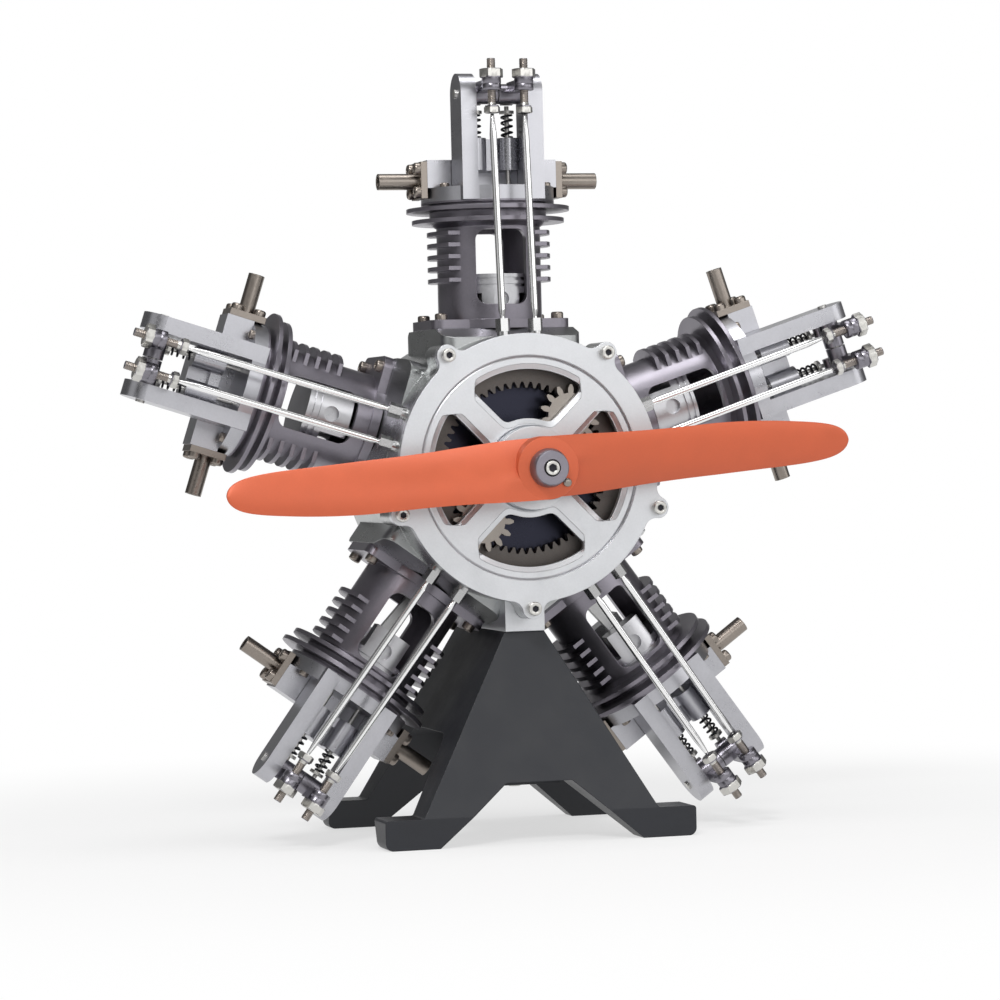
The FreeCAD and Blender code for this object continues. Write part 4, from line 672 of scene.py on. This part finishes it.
# a near-black ring round the screw head just above the counterbore's bottom: painted shade in the gap
recessShade = roundRows([(nut["bore"] - endScrew["gap"], endScrew["lift"]),
                    (endScrew["head"] + endScrew["gap"], endScrew["lift"])])
addOnCrank("nutRecessShade", spin(recessShade, seat, forward, closeEnd=False), "spring")
a = math.radians(drivePin["angle"])
foot = (drivePin["pitch"] * math.cos(a), nut["back"], drivePin["pitch"] * math.sin(a))
pinRows = [(drivePin["radius"] - inset, height) for inset, height in drivePin["rows"]]
addOnCrank("drivePin", spin(roundRows(pinRows), foot, forward), "port")

standScrew = {"y": 12.0, "z": -80.7, "head": 1.7, "height": 1.3, "socket": 0.8, "depth": 0.7, "rounding": 0.4}
spots = [(0, side * standScrew["y"], standScrew["z"]) for side in (-1, 1)]
rowOfScrews("standScrews", spots, [(0, 0, -1)] * len(spots), standScrew, "steel")
print("nut and stand screws made")

# floor, backdrop and lamps; a lamp is (x, y, z, width, power), in metres and watts
studio = {"floorHalf": 0.9, "floorColor": (0.84, 0.84, 0.84), "floorRough": 0.9, "fadeFrom": 0.12,
          "fadeTo": 0.30, "fadeLeast": 0.62, "diffuse": 0.40, "mirroredBase": 0.13, "lampShape": 0.7}
lamps = {"key": (-0.40, -0.75, 0.85, 0.32, 5.5), "fill": (0.85, -0.6, 0.40, 0.6, 1.5),
         "top": (0.0, -0.1, 1.1, 0.6, 3.6), "front": (0.22, -0.76, 0.34, 0.5, 0.85)}
# what metal mirrors: (direction, cosine where it starts, cosine where it is full, strength)
cards = {"front": ((0.16, -0.95, 0.22), 0.74, 0.95, 0.6), "left": ((-0.90, -0.36, 0.25), 0.88, 0.97, 0.55),
         "right": ((0.95, -0.20, 0.15), 0.93, 0.985, 0.5), "top": ((0.0, -0.1, 0.99), 0.72, 0.95, 0.55),
         "behind": ((0.27, 0.96, 0.0), 0.90, 0.99, 0.9)}


def makeFade():
    # 0 near the object and 1 away from it, by distance from the middle of the floor
    group, start, end = newGroup(
        "awayFromObject", [("From", "NodeSocketFloat", 0.2), ("To", "NodeSocketFloat", 0.4)],
        [("Value", "NodeSocketFloat")])
    link = group.links.new
    coord = addNode(group, "ShaderNodeTexCoord")
    length = addNode(group, "ShaderNodeVectorMath", operation="LENGTH")
    ramp = addNode(group, "ShaderNodeMapRange", interpolation_type="SMOOTHSTEP")
    link(coord.outputs["Object"], length.inputs[0])
    link(length.outputs["Value"], ramp.inputs["Value"])
    link(start.outputs["From"], ramp.inputs["From Min"])
    link(start.outputs["To"], ramp.inputs["From Max"])
    link(ramp.outputs["Result"], end.inputs["Value"])
    return group


def makeFloor():
    # one flat sheet; white paper under the object that turns into plain white further out
    half = studio["floorHalf"]
    sheet = [(-half, -half, 0), (half, -half, 0), (half, half, 0), (-half, half, 0)]
    mesh = bpy.data.meshes.new("floor")
    mesh.from_pydata(sheet, [], [(0, 1, 2, 3)])
    floor = bpy.data.objects.new("floor", mesh)
    scene.collection.objects.link(floor)
    material = bpy.data.materials.new("floorPaper")
    material.use_nodes = True
    t = material.node_tree
    link = t.links.new
    shader = t.nodes["Principled BSDF"]
    shader.inputs["Base Color"].default_value = (*studio["floorColor"], 1)
    shader.inputs["Roughness"].default_value = studio["floorRough"]
    white = addNode(t, "ShaderNodeEmission")
    path = addNode(t, "ShaderNodeLightPath")
    seen = addNode(t, "ShaderNodeMath", operation="MAXIMUM")
    link(path.outputs["Is Camera Ray"], seen.inputs[0])
    link(path.outputs["Is Glossy Ray"], seen.inputs[1])
    away = addNode(t, "ShaderNodeGroup")
    away.node_tree = makeFade()
    away.inputs["From"].default_value = studio["fadeFrom"]
    away.inputs["To"].default_value = studio["fadeTo"]
    least = addNode(t, "ShaderNodeMapRange")
    least.inputs["To Min"].default_value = studio["fadeLeast"]
    link(away.outputs["Value"], least.inputs["Value"])
    share = addNode(t, "ShaderNodeMath", operation="MULTIPLY")
    link(seen.outputs[0], share.inputs[0])
    link(least.outputs["Result"], share.inputs[1])
    mix = addNode(t, "ShaderNodeMixShader")
    link(share.outputs[0], mix.inputs[0])
    link(shader.outputs[0], mix.inputs[1])
    link(white.outputs[0], mix.inputs[2])
    link(mix.outputs[0], t.nodes["Material Output"].inputs["Surface"])
    mesh.materials.append(material)


def makeCards():
    # strength of the mirrored surroundings by direction: the base, and a soft patch per card
    group, start, end = newGroup(
        "studioCards", [("Base", "NodeSocketFloat", 0.1)], [("Value", "NodeSocketFloat")])
    coord = addNode(group, "ShaderNodeTexCoord")
    strongest = start.outputs["Base"]
    for direction, low, full, strength in cards.values():
        dot = addNode(group, "ShaderNodeVectorMath", operation="DOT_PRODUCT")
        dot.inputs[1].default_value = Vector(direction).normalized()
        group.links.new(coord.outputs["Generated"], dot.inputs[0])
        ramp = addNode(group, "ShaderNodeMapRange", interpolation_type="SMOOTHSTEP")
        ramp.inputs["From Min"].default_value = low
        ramp.inputs["From Max"].default_value = full
        ramp.inputs["To Max"].default_value = strength
        group.links.new(dot.outputs["Value"], ramp.inputs["Value"])
        most = addNode(group, "ShaderNodeMath", operation="MAXIMUM")
        group.links.new(strongest, most.inputs[0])
        group.links.new(ramp.outputs["Result"], most.inputs[1])
        strongest = most.outputs[0]
    group.links.new(strongest, end.inputs["Value"])
    return group


def makeWorld():
    # plain light on the object, the cards in what it mirrors, and white where the camera sees the backdrop
    world = bpy.data.worlds.new("studio")
    scene.world = world
    world.use_nodes = True
    t = world.node_tree
    t.nodes.clear()
    link = t.links.new
    path = addNode(t, "ShaderNodeLightPath")
    mirrored = addNode(t, "ShaderNodeGroup")
    mirrored.node_tree = makeCards()
    mirrored.inputs["Base"].default_value = studio["mirroredBase"]
    byGloss = addNode(t, "ShaderNodeMix", data_type="FLOAT")
    byGloss.inputs[2].default_value = studio["diffuse"]
    link(path.outputs["Is Glossy Ray"], byGloss.inputs[0])
    link(mirrored.outputs["Value"], byGloss.inputs[3])
    seen = addNode(t, "ShaderNodeMath", operation="MAXIMUM")
    link(path.outputs["Is Camera Ray"], seen.inputs[0])
    link(path.outputs["Is Transmission Ray"], seen.inputs[1])
    bySight = addNode(t, "ShaderNodeMix", data_type="FLOAT")
    bySight.inputs[3].default_value = 1.0
    link(seen.outputs[0], bySight.inputs[0])
    link(byGloss.outputs[0], bySight.inputs[2])
    glow = addNode(t, "ShaderNodeBackground")
    glow.inputs["Color"].default_value = (1, 1, 1, 1)
    link(bySight.outputs[0], glow.inputs["Strength"])
    link(glow.outputs[0], addNode(t, "ShaderNodeOutputWorld").inputs["Surface"])


def addLamp(name, x, y, z, width, power):
    lamp = bpy.data.lights.new(name, "AREA")
    lamp.shape = "RECTANGLE"
    lamp.size = width
    lamp.size_y = width * studio["lampShape"]
    lamp.energy = power
    obj = bpy.data.objects.new(name, lamp)
    scene.collection.objects.link(obj)
    obj.location = (x, y, z)
    aim = Vector((0, engine["y"] * mm, engine["z"] * mm)) - Vector((x, y, z))
    obj.rotation_euler = aim.to_track_quat("-Z", "Y").to_euler()


makeFloor()
makeWorld()
for name, values in lamps.items():
    addLamp(name, *values)
print("studio made")

# the camera at the photograph's angle: turns in degrees, distance and shifts in millimetres from the crank
view = {"azimuth": -16.0, "elevation": 0.9, "roll": -1.4, "distance": 979.0, "right": 1.604, "up": -8.383,
        "lens": 135.25, "sensor": 36.0, "near": 0.01}


def makeCamera():
    az, el, roll = (math.radians(view[key]) for key in ("azimuth", "elevation", "roll"))
    ahead = Vector((-math.sin(az) * math.cos(el), math.cos(az) * math.cos(el), -math.sin(el)))
    level = Vector((math.cos(az), math.sin(az), 0))
    upright = level.cross(ahead)
    right = level * math.cos(roll) + upright * math.sin(roll)
    up = upright * math.cos(roll) - level * math.sin(roll)
    crank = Vector((0, engine["y"], engine["z"]))
    spot = crank - ahead * view["distance"] + right * view["right"] + up * view["up"]
    data = bpy.data.cameras.new("camera")
    data.sensor_width = view["sensor"]
    data.lens = view["lens"]
    data.clip_start = view["near"]
    camera = bpy.data.objects.new("camera", data)
    scene.collection.objects.link(camera)
    camera.matrix_world = Matrix((
        (right.x, up.x, -ahead.x, spot.x * mm),
        (right.y, up.y, -ahead.y, spot.y * mm),
        (right.z, up.z, -ahead.z, spot.z * mm),
        (0, 0, 0, 1)))
    scene.camera = camera


makeCamera()
scene.view_settings.view_transform = "Standard"
